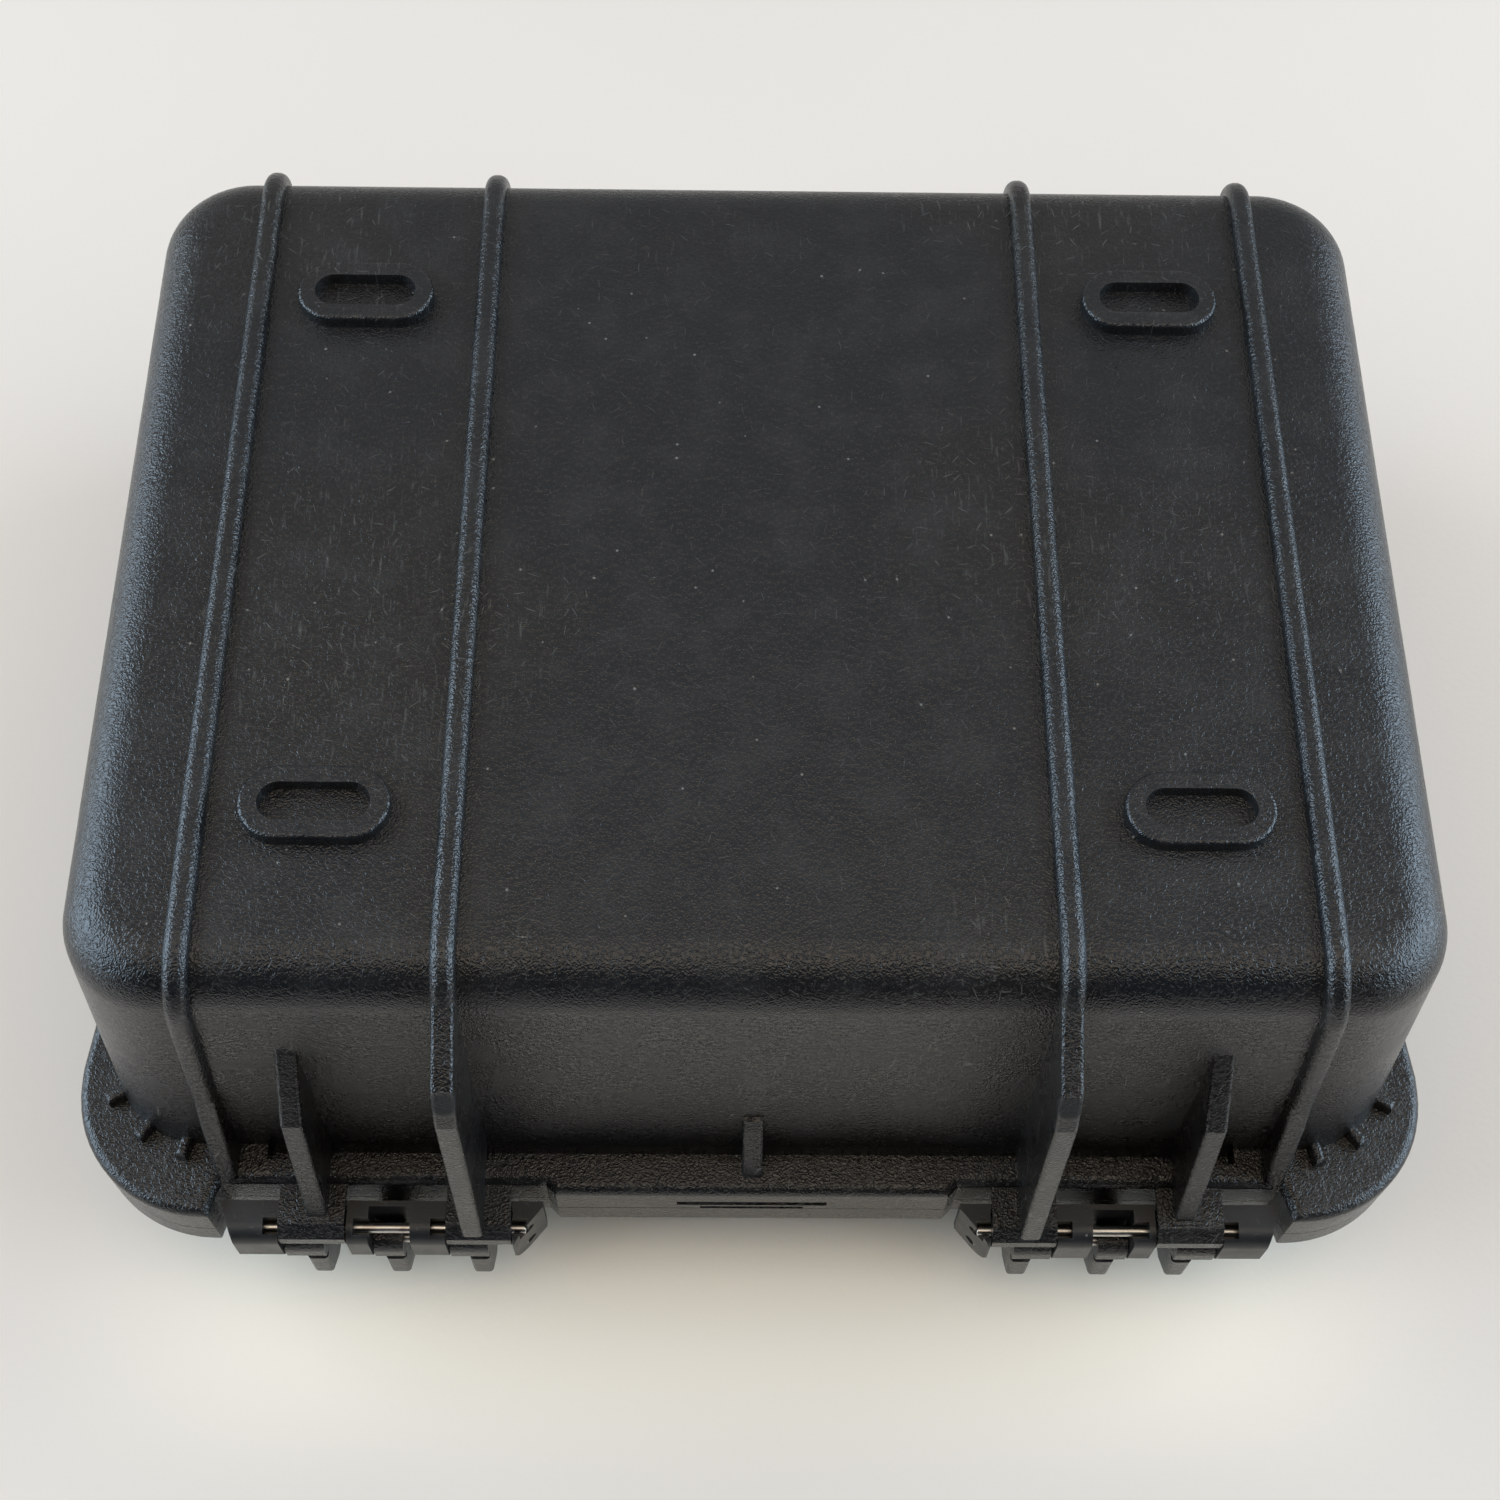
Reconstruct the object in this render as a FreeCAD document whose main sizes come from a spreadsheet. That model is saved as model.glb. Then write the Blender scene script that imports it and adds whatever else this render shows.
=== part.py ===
import FreeCAD, Part
import math
import os
from types import SimpleNamespace

import Sketcher

# A hard protective carrying case for a folding camera drone, in millimetres.
# It stands upside down on the ribs of its lid: +Z is up, the hinges are at -Y,
# the latches and the handle at +Y, and the origin is on the floor under the middle.

DOC = FreeCAD.newDocument("CarryingCase")
SHEET = DOC.addObject("Spreadsheet::Sheet", "Sizes")

SIZES = {
    # moulded shells
    "body_length": (371, "left to right over the base walls, at the underside"),
    "body_depth": (278, "hinge side to latch side over the base walls, at the underside"),
    "base_height": (122, "parting plane to the base's outer face"),
    "lid_height": (44, "parting plane to the lid's outer face"),
    "draft_angle": (3.5, "lean of every moulded wall, degrees"),
    "wall": (4, "wall and floor thickness"),
    "corner_radius": (28, "upright corners, outside"),
    "base_edge": (16, "edge between the base's outer face and its walls"),
    "lid_edge": (12, "edge between the lid's outer face and its walls"),
    "parting_gap": (0.4, "gap between the two rims when shut"),
    # ribs and ring feet
    "rib_proud": (4, "rib height over the shell"),
    "rib_width": (6.8, "rib width"),
    "rib_crown": (3, "rounding of a rib's crown"),
    "inner_rib_x": (82.3, "middle plane to inner rib"),
    "outer_rib_x": (151.5, "middle plane to outer rib"),
    "outer_rib_drop": (68, "how far the outer ribs run down the hinge-side wall"),
    "ring_length": (41, "ring foot, over all"),
    "ring_width": (22, "ring foot, over all"),
    "ring_wall": (5.3, "ring foot, wall"),
    "ring_height": (4.6, "ring foot, height"),
    "ring_x": (119, "middle plane to ring foot"),
    "ring_y": (86.5, "middle plane to ring foot, front to back"),
    "nest_gap": (1.2, "play of a lid pad inside a ring foot"),
    # rim flanges and corner bumpers, all counted outwards from the body's own size
    "base_flange": (15, "height of the base's flange"),
    "lid_flange": (13, "height of the lid's flange"),
    "side_flange": (14, "side flange beyond the body"),
    "side_bumper": (17.7, "corner bumper beyond the body, sideways"),
    "rear_flange": (21, "hinge-side flange beyond the body"),
    "rear_bumper": (28, "corner bumper beyond the body, hinge side"),
    "front_flange": (17, "latch-side flange beyond the body"),
    "front_bumper": (23, "corner bumper beyond the body, latch side"),
    "bumper_radius": (41, "plan rounding of a bumper"),
    "bumper_run": (45, "straight length of a bumper along each side before rounding"),
    "bumper_taper": (32, "length over which a bumper runs out into the side flange"),
    "flange_edge": (3.2, "rounding of the flange's outer edge"),
    "channel_width": (4.6, "channel between wall and flange lip"),
    "channel_depth": (8, "channel depth"),
    # hinges
    "hinge_x": (109.7, "middle plane to hinge middle"),
    "link_width": (95.2, "hinge link, over all"),
    "pin_setback": (29, "hinge pins beyond the body"),
    "pin_rise": (5, "hinge pins above and below the parting plane"),
    "pin_radius": (1.5, "steel hinge pin"),
    "run_gap": (0.06, "radial play of a pin in a part that turns on it"),
    "knuckle_radius": (4.7, "hinge knuckle"),
    "link_radius": (5.2, "hinge link around a pin"),
    "link_plate": (1.7, "web of the hinge link"),
    "recess_depth": (3, "flange set back behind a hinge"),
    "side_gap": (0.4, "sideways gap between knuckles"),
    "window": (4.4, "opening in the link where a pin shows"),
    "shelf": (1.8, "shelf that joins a knuckle to the flange, over the link"),
    "inner_slant": (8.3, "how far the link's inner end slants back"),
    "outer_slant": (3.5, "how far the link's outer end slants back"),
    "hinge_pin_length": (85, "steel hinge pin"),
    # gussets on the hinge side: "out" is beyond the body, "drop" below the base's outer face
    "fin_width": (6.2, "gusset thickness"),
    "fin_edge": (1.3, "rounding along a gusset"),
    "fin_facet_out": (22, "outer end of the inner gusset's sloping top"),
    "fin_facet_drop": (16.5, "outer end of the inner gusset's sloping top"),
    "fin_ridge_out": (27, "start of the inner gusset's upright ridge"),
    "fin_ridge_drop": (30, "start of the inner gusset's upright ridge"),
    "second_fin_x": (128.4, "middle plane to the second gusset"),
    "second_fin_drop": (37, "top of the second gusset"),
    "second_fin_out": (18, "knee of the second gusset"),
    "second_knee_drop": (57, "knee of the second gusset"),
    "outer_fin_x": (155.5, "middle plane to the outer gusset"),
    "outer_fin_out": (7.6, "top of the outer gusset"),
    "outer_foot_out": (17.5, "foot of the outer gusset"),
    "centre_fin_drop": (83, "top of the middle gusset"),
    "centre_fin_out": (6.6, "top of the middle gusset"),
    "lid_fin_height": (28, "webs under the lid's knuckles"),
    "nub_height": (4.5, "short ribs between wall and bumper"),
    "nub_reach": (5.4, "short ribs, out from the wall's foot"),
    # slots at the middle of the hinge side
    "face_slot_length": (45, "slot in the face of the base's flange"),
    "face_slot_height": (3.2, "slot in the face of the base's flange"),
    "pry_length": (31, "pry gap between the rims"),
    "pry_height": (2, "pry gap between the rims"),
    # latches
    "latch_x": (110, "middle plane to latch middle"),
    "latch_width": (44, "latch body"),
    "latch_pin_radius": (2, "latch pin"),
    "latch_pin_out": (22, "latch pin beyond the body"),
    "latch_pin_up": (24, "latch pin above the parting plane"),
    "latch_plate": (6, "latch body thickness"),
    "latch_recess": (3, "flange set back behind a latch"),
    "latch_gap": (0.6, "gap between latch body and flange"),
    "hook_reach": (6.5, "latch nose under the lid's flange"),
    "hook_gap": (0.3, "gap between nose and flange at rest"),
    "hook_height": (5, "latch nose"),
    "lever_plate": (5.5, "latch lever thickness"),
    "lever_pin_up": (-4, "lever pin above the parting plane"),
    "lug_width": (5, "latch and handle lugs"),
    # handle
    "handle_span": (124, "between the middles of the handle's arms"),
    "handle_arm": (7, "arm width"),
    "handle_deep": (11, "arm and grip, front to back"),
    "handle_drop": (50, "pin to middle of the grip"),
    "handle_pin_out": (28.5, "handle pin beyond the body"),
    "handle_pin_up": (32, "handle pin above the parting plane"),
    "grip_length": (98, "rubber grip"),
    "grip_height": (20, "rubber grip, section height"),
    "grip_core": (7, "core of the grip, front to back"),
    # padlock holes
    "lock_x": (150, "middle plane to padlock hole"),
    "lock_radius": (3.5, "padlock hole"),
    "lock_out": (15.7, "padlock hole beyond the body"),
    # pressure valve
    "valve_drop": (58, "valve axis below the base's outer face"),
    "valve_boss": (15, "boss radius"),
    "valve_face": (9, "boss face beyond the body"),
    "valve_bore": (6, "hole for the valve's stem"),
    "valve_cap": (11, "cap radius"),
    "valve_cap_height": (5.5, "cap over its seal"),
    "valve_seal": (1.2, "thickness of the seal under the cap"),
    "valve_nut": (9.5, "nut, middle to corner"),
    # seal and foam
    "groove_inset": (1.5, "seal groove out from the lid's inner edge"),
    "groove_width": (5, "seal groove"),
    "groove_depth": (4, "seal groove"),
    "seal_gap": (0.25, "play round the seal in its groove"),
    "foam_gap": (1, "gap between foam and shell"),
    "foam_setback": (2, "base foam short of the parting plane"),
    "lid_foam": (34, "lid foam thickness"),
    "bay_wall": (16, "foam left between bays"),
    "drone_bay_x": (210, "drone bay"),
    "drone_bay_y": (122, "drone bay"),
    "battery_bay_x": (74, "battery bay"),
    "cut_layer": (86, "thickness of the foam layer that the bays are cut through"),
}


class Size:
    """A length held both as a spreadsheet formula and as its present value."""

    def __init__(self, formula, value):
        self.formula = formula
        self.value = value

    def __add__(self, other):
        return joined(self, "+", other, lambda a, b: a + b)

    def __radd__(self, other):
        return joined(other, "+", self, lambda a, b: a + b)

    def __sub__(self, other):
        return joined(self, "-", other, lambda a, b: a - b)

    def __rsub__(self, other):
        return joined(other, "-", self, lambda a, b: a - b)

    def __mul__(self, other):
        return joined(self, "*", other, lambda a, b: a * b)

    def __rmul__(self, other):
        return joined(other, "*", self, lambda a, b: a * b)

    def __truediv__(self, other):
        return joined(self, "/", other, lambda a, b: a / b)

    def __neg__(self):
        return -1 * self


def as_size(number):
    return number if isinstance(number, Size) else Size(f"({number:.6f})", float(number))


def joined(left, sign, right, work):
    left = as_size(left)
    right = as_size(right)
    return Size(f"({left.formula} {sign} {right.formula})", work(left.value, right.value))


def tangent(angle):
    return Size(f"tan({angle.formula})", math.tan(math.radians(angle.value)))


def fill_sheet():
    """Write every driving size into the sheet and hand them back by name."""
    named = {}
    for row, (name, (value, note)) in enumerate(SIZES.items(), start=1):
        SHEET.set(f"A{row}", name)
        SHEET.set(f"B{row}", str(value))
        SHEET.setAlias(f"B{row}", name)
        SHEET.set(f"C{row}", note)
        named[name] = Size(f"{SHEET.Name}.{name}", float(value))
    DOC.recompute()
    return SimpleNamespace(**named)


def bind(item, prop, size):
    item.setExpression(prop, as_size(size).formula)


size = fill_sheet()

# ---------------------------------------------------------------- worked out places

LEAN = tangent(size.draft_angle)
PARTING_Z = size.lid_height + size.rib_proud
UNDER_Z = PARTING_Z + size.base_height
HALF_X = size.body_length / 2
HALF_Y = size.body_depth / 2
RIM_X = HALF_X + size.base_height * LEAN
RIM_Y = HALF_Y + size.base_height * LEAN
LID_X = RIM_X - size.lid_height * LEAN
LID_Y = RIM_Y - size.lid_height * LEAN
BASE_RIM_Z = PARTING_Z + size.parting_gap / 2
LID_RIM_Z = PARTING_Z - size.parting_gap / 2
BASE_FLANGE_Z = PARTING_Z + size.base_flange
LID_FLANGE_Z = PARTING_Z - size.lid_flange

PIN_Y = -(HALF_Y + size.pin_setback)
BASE_PIN_Z = PARTING_Z + size.pin_rise
LID_PIN_Z = PARTING_Z - size.pin_rise
HINGE_FACE_Y = -(HALF_Y + size.rear_flange - size.recess_depth)
LINK_HALF = size.link_width / 2

LATCH_PIN_Y = HALF_Y + size.latch_pin_out
LATCH_PIN_Z = PARTING_Z + size.latch_pin_up
LATCH_FACE_Y = HALF_Y + size.front_flange - size.latch_recess
LATCH_BACK_Y = LATCH_FACE_Y + size.latch_gap
LATCH_FRONT_Y = LATCH_BACK_Y + size.latch_plate
LEVER_BACK_Y = LATCH_FRONT_Y + size.latch_gap
LEVER_PIN_Y = LEVER_BACK_Y + size.lever_plate / 2
LEVER_PIN_Z = PARTING_Z + size.lever_pin_up
EAR_WIDTH = size.lug_width - 1
LEVER_HALF = size.latch_width / 2 - EAR_WIDTH - size.side_gap

HANDLE_PIN_Y = HALF_Y + size.handle_pin_out
HANDLE_PIN_Z = PARTING_Z + size.handle_pin_up
GRIP_Z = HANDLE_PIN_Z - size.handle_drop
ARM_X = size.handle_span / 2
HANDLE_LUG_X = ARM_X + size.handle_arm / 2 + size.side_gap + size.lug_width / 2

VALVE_Z = UNDER_Z - size.valve_drop
VALVE_FACE_Y = HALF_Y + size.valve_face

# Across each hinge, from its middle towards the outside of the case.
BASE_KNUCKLES = ((-38.3, -19.2), (10.8, 30.3))
LID_KNUCKLES = ((-30.6, -19.2), (-5.2, 3.7), (18.5, 30.3))
LID_FINS = (-27.4, -2, 21.7)

LINK_COLUMNS = ((-47.6, -38.7), (-18.8, -8.4), (4.1, 10.4), (30.7, 47.6))
LINK_WINDOWS = (-43.1, -18.8, 4.1, 30.7)
SHELF_RISE = size.link_radius + size.side_gap + size.shelf

NUB_ANGLES = (30, 54, 77)

PARTS = []


# ---------------------------------------------------------------- sketch and feature tools

def new_body(label):
    body = DOC.addObject("PartDesign::Body", label)
    body.Label = label
    return body


def new_part(label):
    """A body that is a sub-part by itself."""
    body = new_body(label)
    PARTS.append(body)
    return body


def blank_sketch(body, name, plane, offset, rise=None, tilt=None):
    """A sketch on one of the body's own planes: XY reads (x, y), YZ (y, z) and XZ (x, z)."""
    sketch = body.newObject("Sketcher::SketchObject", name)
    support = [item for item in body.Origin.OriginFeatures if item.Role == plane + "_Plane"]
    sketch.AttachmentSupport = [(support[0], "")]
    sketch.MapMode = "FlatFace"
    if tilt is not None:
        turned = FreeCAD.Rotation(FreeCAD.Vector(1, 0, 0), tilt.value)
        sketch.AttachmentOffset = FreeCAD.Placement(FreeCAD.Vector(), turned)
        bind(sketch, "AttachmentOffset.Rotation.Angle", tilt)
    if rise is not None:
        bind(sketch, "AttachmentOffset.Base.y", rise)
    bind(sketch, "AttachmentOffset.Base.z", -1 * as_size(offset) if plane == "XZ" else offset)
    return sketch


def add_polygon(sketch, points):
    points = [(as_size(across), as_size(up)) for across, up in points]
    first = len(sketch.Geometry)
    count = len(points)
    for start, end in zip(points, points[1:] + points[:1]):
        line = Part.LineSegment(FreeCAD.Vector(start[0].value, start[1].value, 0),
                                FreeCAD.Vector(end[0].value, end[1].value, 0))
        sketch.addGeometry(line, False)
    for index in range(count):
        following = first + (index + 1) % count
        sketch.addConstraint(Sketcher.Constraint("Coincident", first + index, 2, following, 1))
    for index, point in enumerate(points):
        for kind, coordinate in zip(("DistanceX", "DistanceY"), point):
            rule = Sketcher.Constraint(kind, -1, 1, first + index, 1, coordinate.value)
            number = sketch.addConstraint(rule)
            sketch.setExpression(f"Constraints[{number}]", coordinate.formula)


def add_circle(sketch, across, up, radius):
    across, up, radius = as_size(across), as_size(up), as_size(radius)
    centre = FreeCAD.Vector(across.value, up.value, 0)
    index = sketch.addGeometry(Part.Circle(centre, FreeCAD.Vector(0, 0, 1), radius.value), False)
    for kind, coordinate in (("DistanceX", across), ("DistanceY", up)):
        number = sketch.addConstraint(
            Sketcher.Constraint(kind, -1, 1, index, 3, coordinate.value))
        sketch.setExpression(f"Constraints[{number}]", coordinate.formula)
    number = sketch.addConstraint(Sketcher.Constraint("Radius", index, radius.value))
    sketch.setExpression(f"Constraints[{number}]", radius.formula)


def box_points(x_low, x_high, y_low, y_high):
    return [(x_low, y_low), (x_high, y_low), (x_high, y_high), (x_low, y_high)]


def extrude(body, name, sketch, length, both=False, down=False, cut=False, taper=None):
    """Pad, or pocket when cut is set, along the sketch's normal, against it, or both ways."""
    feature = body.newObject("PartDesign::Pocket" if cut else "PartDesign::Pad", name)
    feature.Profile = sketch
    feature.SideType = "Symmetric" if both else "One side"
    feature.Reversed = (not down) if cut else down
    bind(feature, "Length", length)
    if taper is not None:
        bind(feature, "TaperAngle", taper)
    if cut:
        check_cut(body, feature)
    return feature


def check_cut(body, feature):
    DOC.recompute()
    before = feature.BaseFeature.Shape.Volume
    if not feature.Shape.Volume < before - 1e-3:
        raise RuntimeError(f"{body.Label}: {feature.Name} cuts nothing")


def slab(body, name, plane, offset, points, thickness, cut=False, rise=None, tilt=None):
    """A polygon given thickness equally to both sides of a plane."""
    sketch = blank_sketch(body, name + "Outline", plane, offset, rise, tilt)
    add_polygon(sketch, points)
    return extrude(body, name, sketch, thickness, both=True, cut=cut)


def rod(body, name, middle_x, across_y, up_z, radius, length, cut=False):
    """A round bar along X, or its hole."""
    sketch = blank_sketch(body, name + "Circle", "YZ", middle_x)
    add_circle(sketch, across_y, up_z, radius)
    return extrude(body, name, sketch, length, both=True, cut=cut)


def round_edges(body, name, radius, wanted):
    """Fillet those edges of the body as it stands for which wanted(edge) holds."""
    DOC.recompute()
    tip = body.Tip
    edges = [f"Edge{number}" for number, edge in enumerate(tip.Shape.Edges, 1) if wanted(edge)]
    if not edges:
        raise RuntimeError(f"{body.Label}: no edge to round for {name}")
    fillet = body.newObject("PartDesign::Fillet", name)
    fillet.Base = (tip, edges)
    bind(fillet, "Radius", radius)
    DOC.recompute()
    if "Invalid" in fillet.State or fillet.Shape.isNull():
        raise RuntimeError(f"{body.Label}: {name} can't be rounded")
    return fillet


def middle_of(edge):
    return edge.valueAt((edge.FirstParameter + edge.LastParameter) / 2)


def upright(edge):
    """True for an edge that climbs more than it runs."""
    box = edge.BoundBox
    return box.ZLength > 2 and box.ZLength > 3 * max(box.XLength, box.YLength)


def level_at(height):
    def test(edge):
        box = edge.BoundBox
        return abs(box.ZMin - height.value) < 0.01 and abs(box.ZMax - height.value) < 0.01
    return test


# ---------------------------------------------------------------- joining bodies

def fused(label, pieces):
    joined_up = DOC.addObject("Part::MultiFuse", label)
    joined_up.Label = label
    joined_up.Shapes = pieces
    joined_up.Refine = True
    return joined_up


def cut_from(label, base, tools):
    """The base less every tool; it fails when the tools miss the base."""
    tool = fused(label + "_cutters", tools) if len(tools) > 1 else tools[0]
    result = DOC.addObject("Part::Cut", label)
    result.Label = label
    result.Base = base
    result.Tool = tool
    DOC.recompute()
    if not result.Shape.Volume < base.Shape.Volume - 1e-3:
        raise RuntimeError(f"{label}: the cut removes nothing")
    return result


def single(name, make, *details, **options):
    """One body that holds just one feature."""
    body = new_body(name)
    make(body, "Form", *details, **options)
    return body


# ---------------------------------------------------------------- shells

def tub(name, face_z, inward, half_x, half_y, height, corner, edge, taper):
    """A drafted box with round upright corners and a round edge on the sketched face."""
    body = new_body(name)
    outline = blank_sketch(body, "Outline", "XY", face_z)
    add_polygon(outline, box_points(-half_x, half_x, -half_y, half_y))
    extrude(body, "Walls", outline, height, down=inward < 0, taper=taper)
    round_edges(body, "Corners", corner, upright)
    round_edges(body, "FaceEdge", edge, level_at(face_z))
    return body


def flange_outline():
    """Plan of the rim: four corner bumpers, a set-back face at each hinge and each latch."""
    side = HALF_X + size.side_flange
    bumper = HALF_X + size.side_bumper
    rear = -(HALF_Y + size.rear_flange)
    rear_corner = -(HALF_Y + size.rear_bumper)
    front = HALF_Y + size.front_flange
    front_corner = HALF_Y + size.front_bumper
    hinge_in = size.hinge_x - LINK_HALF - size.side_gap * 2
    hinge_out = size.hinge_x + LINK_HALF + size.side_gap
    latch_in = size.latch_x - size.latch_width / 2 - size.lug_width - 1
    latch_out = size.latch_x + size.latch_width / 2 + size.lug_width + 1
    run = size.bumper_run
    taper = size.bumper_taper
    right = [
        (hinge_in - size.recess_depth, rear),
        (hinge_in, HINGE_FACE_Y),
        (hinge_out, HINGE_FACE_Y),
        (hinge_out + size.recess_depth, rear_corner),
        (bumper, rear_corner),
        (bumper, rear_corner + run),
        (side, rear_corner + run + taper),
        (side, front_corner - run - taper),
        (bumper, front_corner - run),
        (bumper, front_corner),
        (latch_out + size.recess_depth, front_corner),
        (latch_out, LATCH_FACE_Y),
        (latch_in, LATCH_FACE_Y),
        (latch_in - size.latch_recess, front),
    ]
    left = [(-x, y) for x, y in reversed(right)]
    return right + left


def rim_flange(name, face_z, height, up):
    """The flange round the rim; it grows from its face at the parting plane."""
    body = new_body(name)
    sketch = blank_sketch(body, "Outline", "XY", face_z)
    add_polygon(sketch, flange_outline())
    extrude(body, "Plate", sketch, height, down=not up)
    corner_x = HALF_X.value + size.side_bumper.value
    corner_ys = (-HALF_Y.value - size.rear_bumper.value, HALF_Y.value + size.front_bumper.value)

    def bumper_corner(edge):
        spot = middle_of(edge)
        at_y = min(abs(spot.y - corner_y) for corner_y in corner_ys) < 0.1
        return upright(edge) and abs(abs(spot.x) - corner_x) < 0.1 and at_y

    round_edges(body, "BumperCorners", size.bumper_radius, bumper_corner)
    outer_z = face_z + height if up else face_z - height
    round_edges(body, "OuterEdge", size.flange_edge, level_at(outer_z))
    return body


def rib(name, rib_x, face_z, inward, half_y, rear_drop, front_drop, edge_radius, tilt=None):
    """A round-topped rib that wraps the shell from front to back."""
    body = new_body(name)
    proud = size.rib_proud

    def reach(drop):
        return half_y + proud + drop * LEAN

    points = [
        (-reach(rear_drop), -1 * inward * rear_drop),
        (-reach(-1 * proud), inward * proud),
        (reach(-1 * proud), inward * proud),
        (reach(front_drop), -1 * inward * front_drop),
    ]
    points = [(across, -1 * up) for across, up in points]
    slab(body, "Web", "YZ", rib_x, points, size.rib_width, rise=face_z, tilt=tilt)
    corner_z = (face_z - inward * proud).value

    def bend(edge):
        box = edge.BoundBox
        return box.XLength > size.rib_width.value * 0.9 and abs(middle_of(edge).z - corner_z) < 0.5

    round_edges(body, "Bends", edge_radius + proud, bend)
    low_y = half_y.value - 1

    def crown(edge):
        spot = middle_of(edge)
        outside = abs(spot.z - corner_z) < 0.5 or abs(spot.y) > low_y
        return edge.BoundBox.YLength + edge.BoundBox.ZLength > 8 and outside

    round_edges(body, "Crown", size.rib_crown, crown)
    return body


def gusset(name, fin_x, points):
    """An upright web with softened outer edges; its first and last points lie in the wall."""
    body = new_body(name)
    slab(body, "Web", "YZ", fin_x, points, size.fin_width)
    inner_y = as_size(points[0][0]).value
    half = size.fin_width.value / 2

    def outer(edge):
        spot = middle_of(edge)
        on_side = abs(abs(spot.x - as_size(fin_x).value) - half) < 0.01
        box = edge.BoundBox
        ridge = box.ZLength > 1.5 or box.YLength < 1.5
        return on_side and ridge and spot.y < inner_y - 0.5

    round_edges(body, "Ridge", size.fin_edge, outer)
    return body


def obround(name, face_z, middle_x, middle_y, length, width, height, edge=None):
    """An upright bar with half-round ends, standing on a level face."""
    body = new_body(name)
    sketch = blank_sketch(body, "Outline", "XY", face_z)
    add_polygon(sketch, box_points(middle_x - length / 2, middle_x + length / 2,
                                   middle_y - width / 2, middle_y + width / 2))
    extrude(body, "Bar", sketch, height)
    round_edges(body, "Ends", width / 2 - 0.01, upright)
    if edge is not None:
        round_edges(body, "TopEdge", edge, level_at(face_z + height))
    return body


def knuckles(label, side, ranges, pin_z, away):
    """Hinge knuckles, each with a shelf that reaches over the link to the flange."""
    radius = size.knuckle_radius
    top = pin_z + away * SHELF_RISE
    under = top - away * size.shelf
    pieces = []
    for number, (low, high) in enumerate(ranges):
        middle = side * (size.hinge_x + (low + high) / 2)
        width = as_size(high - low)
        body = new_body(f"{label}_{number}")
        rod(body, "Barrel", middle, PIN_Y, pin_z, radius, width)
        slab(body, "Shelf", "YZ", middle, [
            (PIN_Y - radius, pin_z),
            (PIN_Y - radius, top - away * size.shelf * 2),
            (PIN_Y - radius + size.shelf * 2, top),
            (HINGE_FACE_Y + 1, top),
            (HINGE_FACE_Y + 1, under),
            (PIN_Y + radius, under),
            (PIN_Y + radius, pin_z),
        ], width)
        DOC.recompute()
        pieces.append(body)
    return pieces


def make_base_shell():
    low_z = BASE_RIM_Z
    solids = [
        tub("base_tub", UNDER_Z, -1, HALF_X, HALF_Y, UNDER_Z - low_z, size.corner_radius,
            size.base_edge, size.draft_angle),
        rim_flange("base_flange_plate", low_z, BASE_FLANGE_Z - low_z, True),
        centre_fin(),
        valve_boss(),
    ]
    cutters = [
        tub("base_hollow", UNDER_Z - size.wall, -1, HALF_X - size.wall, HALF_Y - size.wall,
            UNDER_Z - size.wall - low_z + 1, size.corner_radius - size.wall,
            size.base_edge - size.wall, size.draft_angle),
        single("channel", channel_form),
        single("face_slot", slab, "XZ", -(HALF_Y + size.rear_flange),
               box_points(-size.face_slot_length / 2, size.face_slot_length / 2,
                          PARTING_Z + size.face_slot_height,
                          PARTING_Z + 2 * size.face_slot_height), size.face_slot_height),
        single("pry_gap", slab, "XZ", -(HALF_Y + size.rear_flange),
               box_points(-size.pry_length / 2, size.pry_length / 2, PARTING_Z - 1,
                          PARTING_Z + size.pry_height), 4 * size.pry_height),
        single("valve_hole", disc, VALVE_FACE_Y + 5, size.valve_bore, size.valve_face + 20),
    ]
    front_drop = size.base_height - size.base_flange
    for side, tag in ((-1, "left"), (1, "right")):
        solids.append(rib("base_inner_rib_" + tag, side * size.inner_rib_x, UNDER_Z, -1, HALF_Y,
                          size.base_edge + 6, front_drop, size.base_edge))
        solids.append(rib("base_outer_rib_" + tag, side * size.outer_rib_x, UNDER_Z, -1, HALF_Y,
                          size.outer_rib_drop, front_drop, size.base_edge,
                          tilt=-side * size.draft_angle))
        solids += base_gussets(side, tag)
        solids += knuckles("base_knuckle_" + tag, side, BASE_KNUCKLES, BASE_PIN_Z, 1)
        solids += latch_lugs(side, tag)
        solids += handle_lug(side, tag)
        solids += bumper_nubs(side, tag)
        for row, place in ((-1, "rear"), (1, "front")):
            solids.append(obround(f"ring_{tag}_{place}", UNDER_Z - 1, side * size.ring_x,
                                  row * size.ring_y, size.ring_length, size.ring_width,
                                  size.ring_height + 1, edge=as_size(1.2)))
            cutters.append(obround(f"ring_slot_{tag}_{place}", UNDER_Z, side * size.ring_x,
                                   row * size.ring_y, size.ring_length - 2 * size.ring_wall,
                                   size.ring_width - 2 * size.ring_wall, size.ring_height + 1))
        cutters += [
            bore("base_pin_bore_" + tag, side * size.hinge_x, PIN_Y, BASE_PIN_Z,
                 size.pin_radius, size.hinge_pin_length + 2),
            bore("latch_bore_" + tag, side * size.latch_x, LATCH_PIN_Y, LATCH_PIN_Z,
                 size.latch_pin_radius, size.latch_width + 4 * size.lug_width),
            bore("handle_bore_" + tag, side * HANDLE_LUG_X, HANDLE_PIN_Y, HANDLE_PIN_Z,
                 size.latch_pin_radius, size.lug_width + 1),
            lock_hole("base_lock_hole_" + tag, side, low_z, BASE_FLANGE_Z),
        ]
    PARTS.append(cut_from("base_shell", fused("base_outside", solids), cutters))


def bore(name, middle_x, across_y, up_z, radius, length):
    return single(name, rod, middle_x, across_y, up_z, radius, length)


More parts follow.
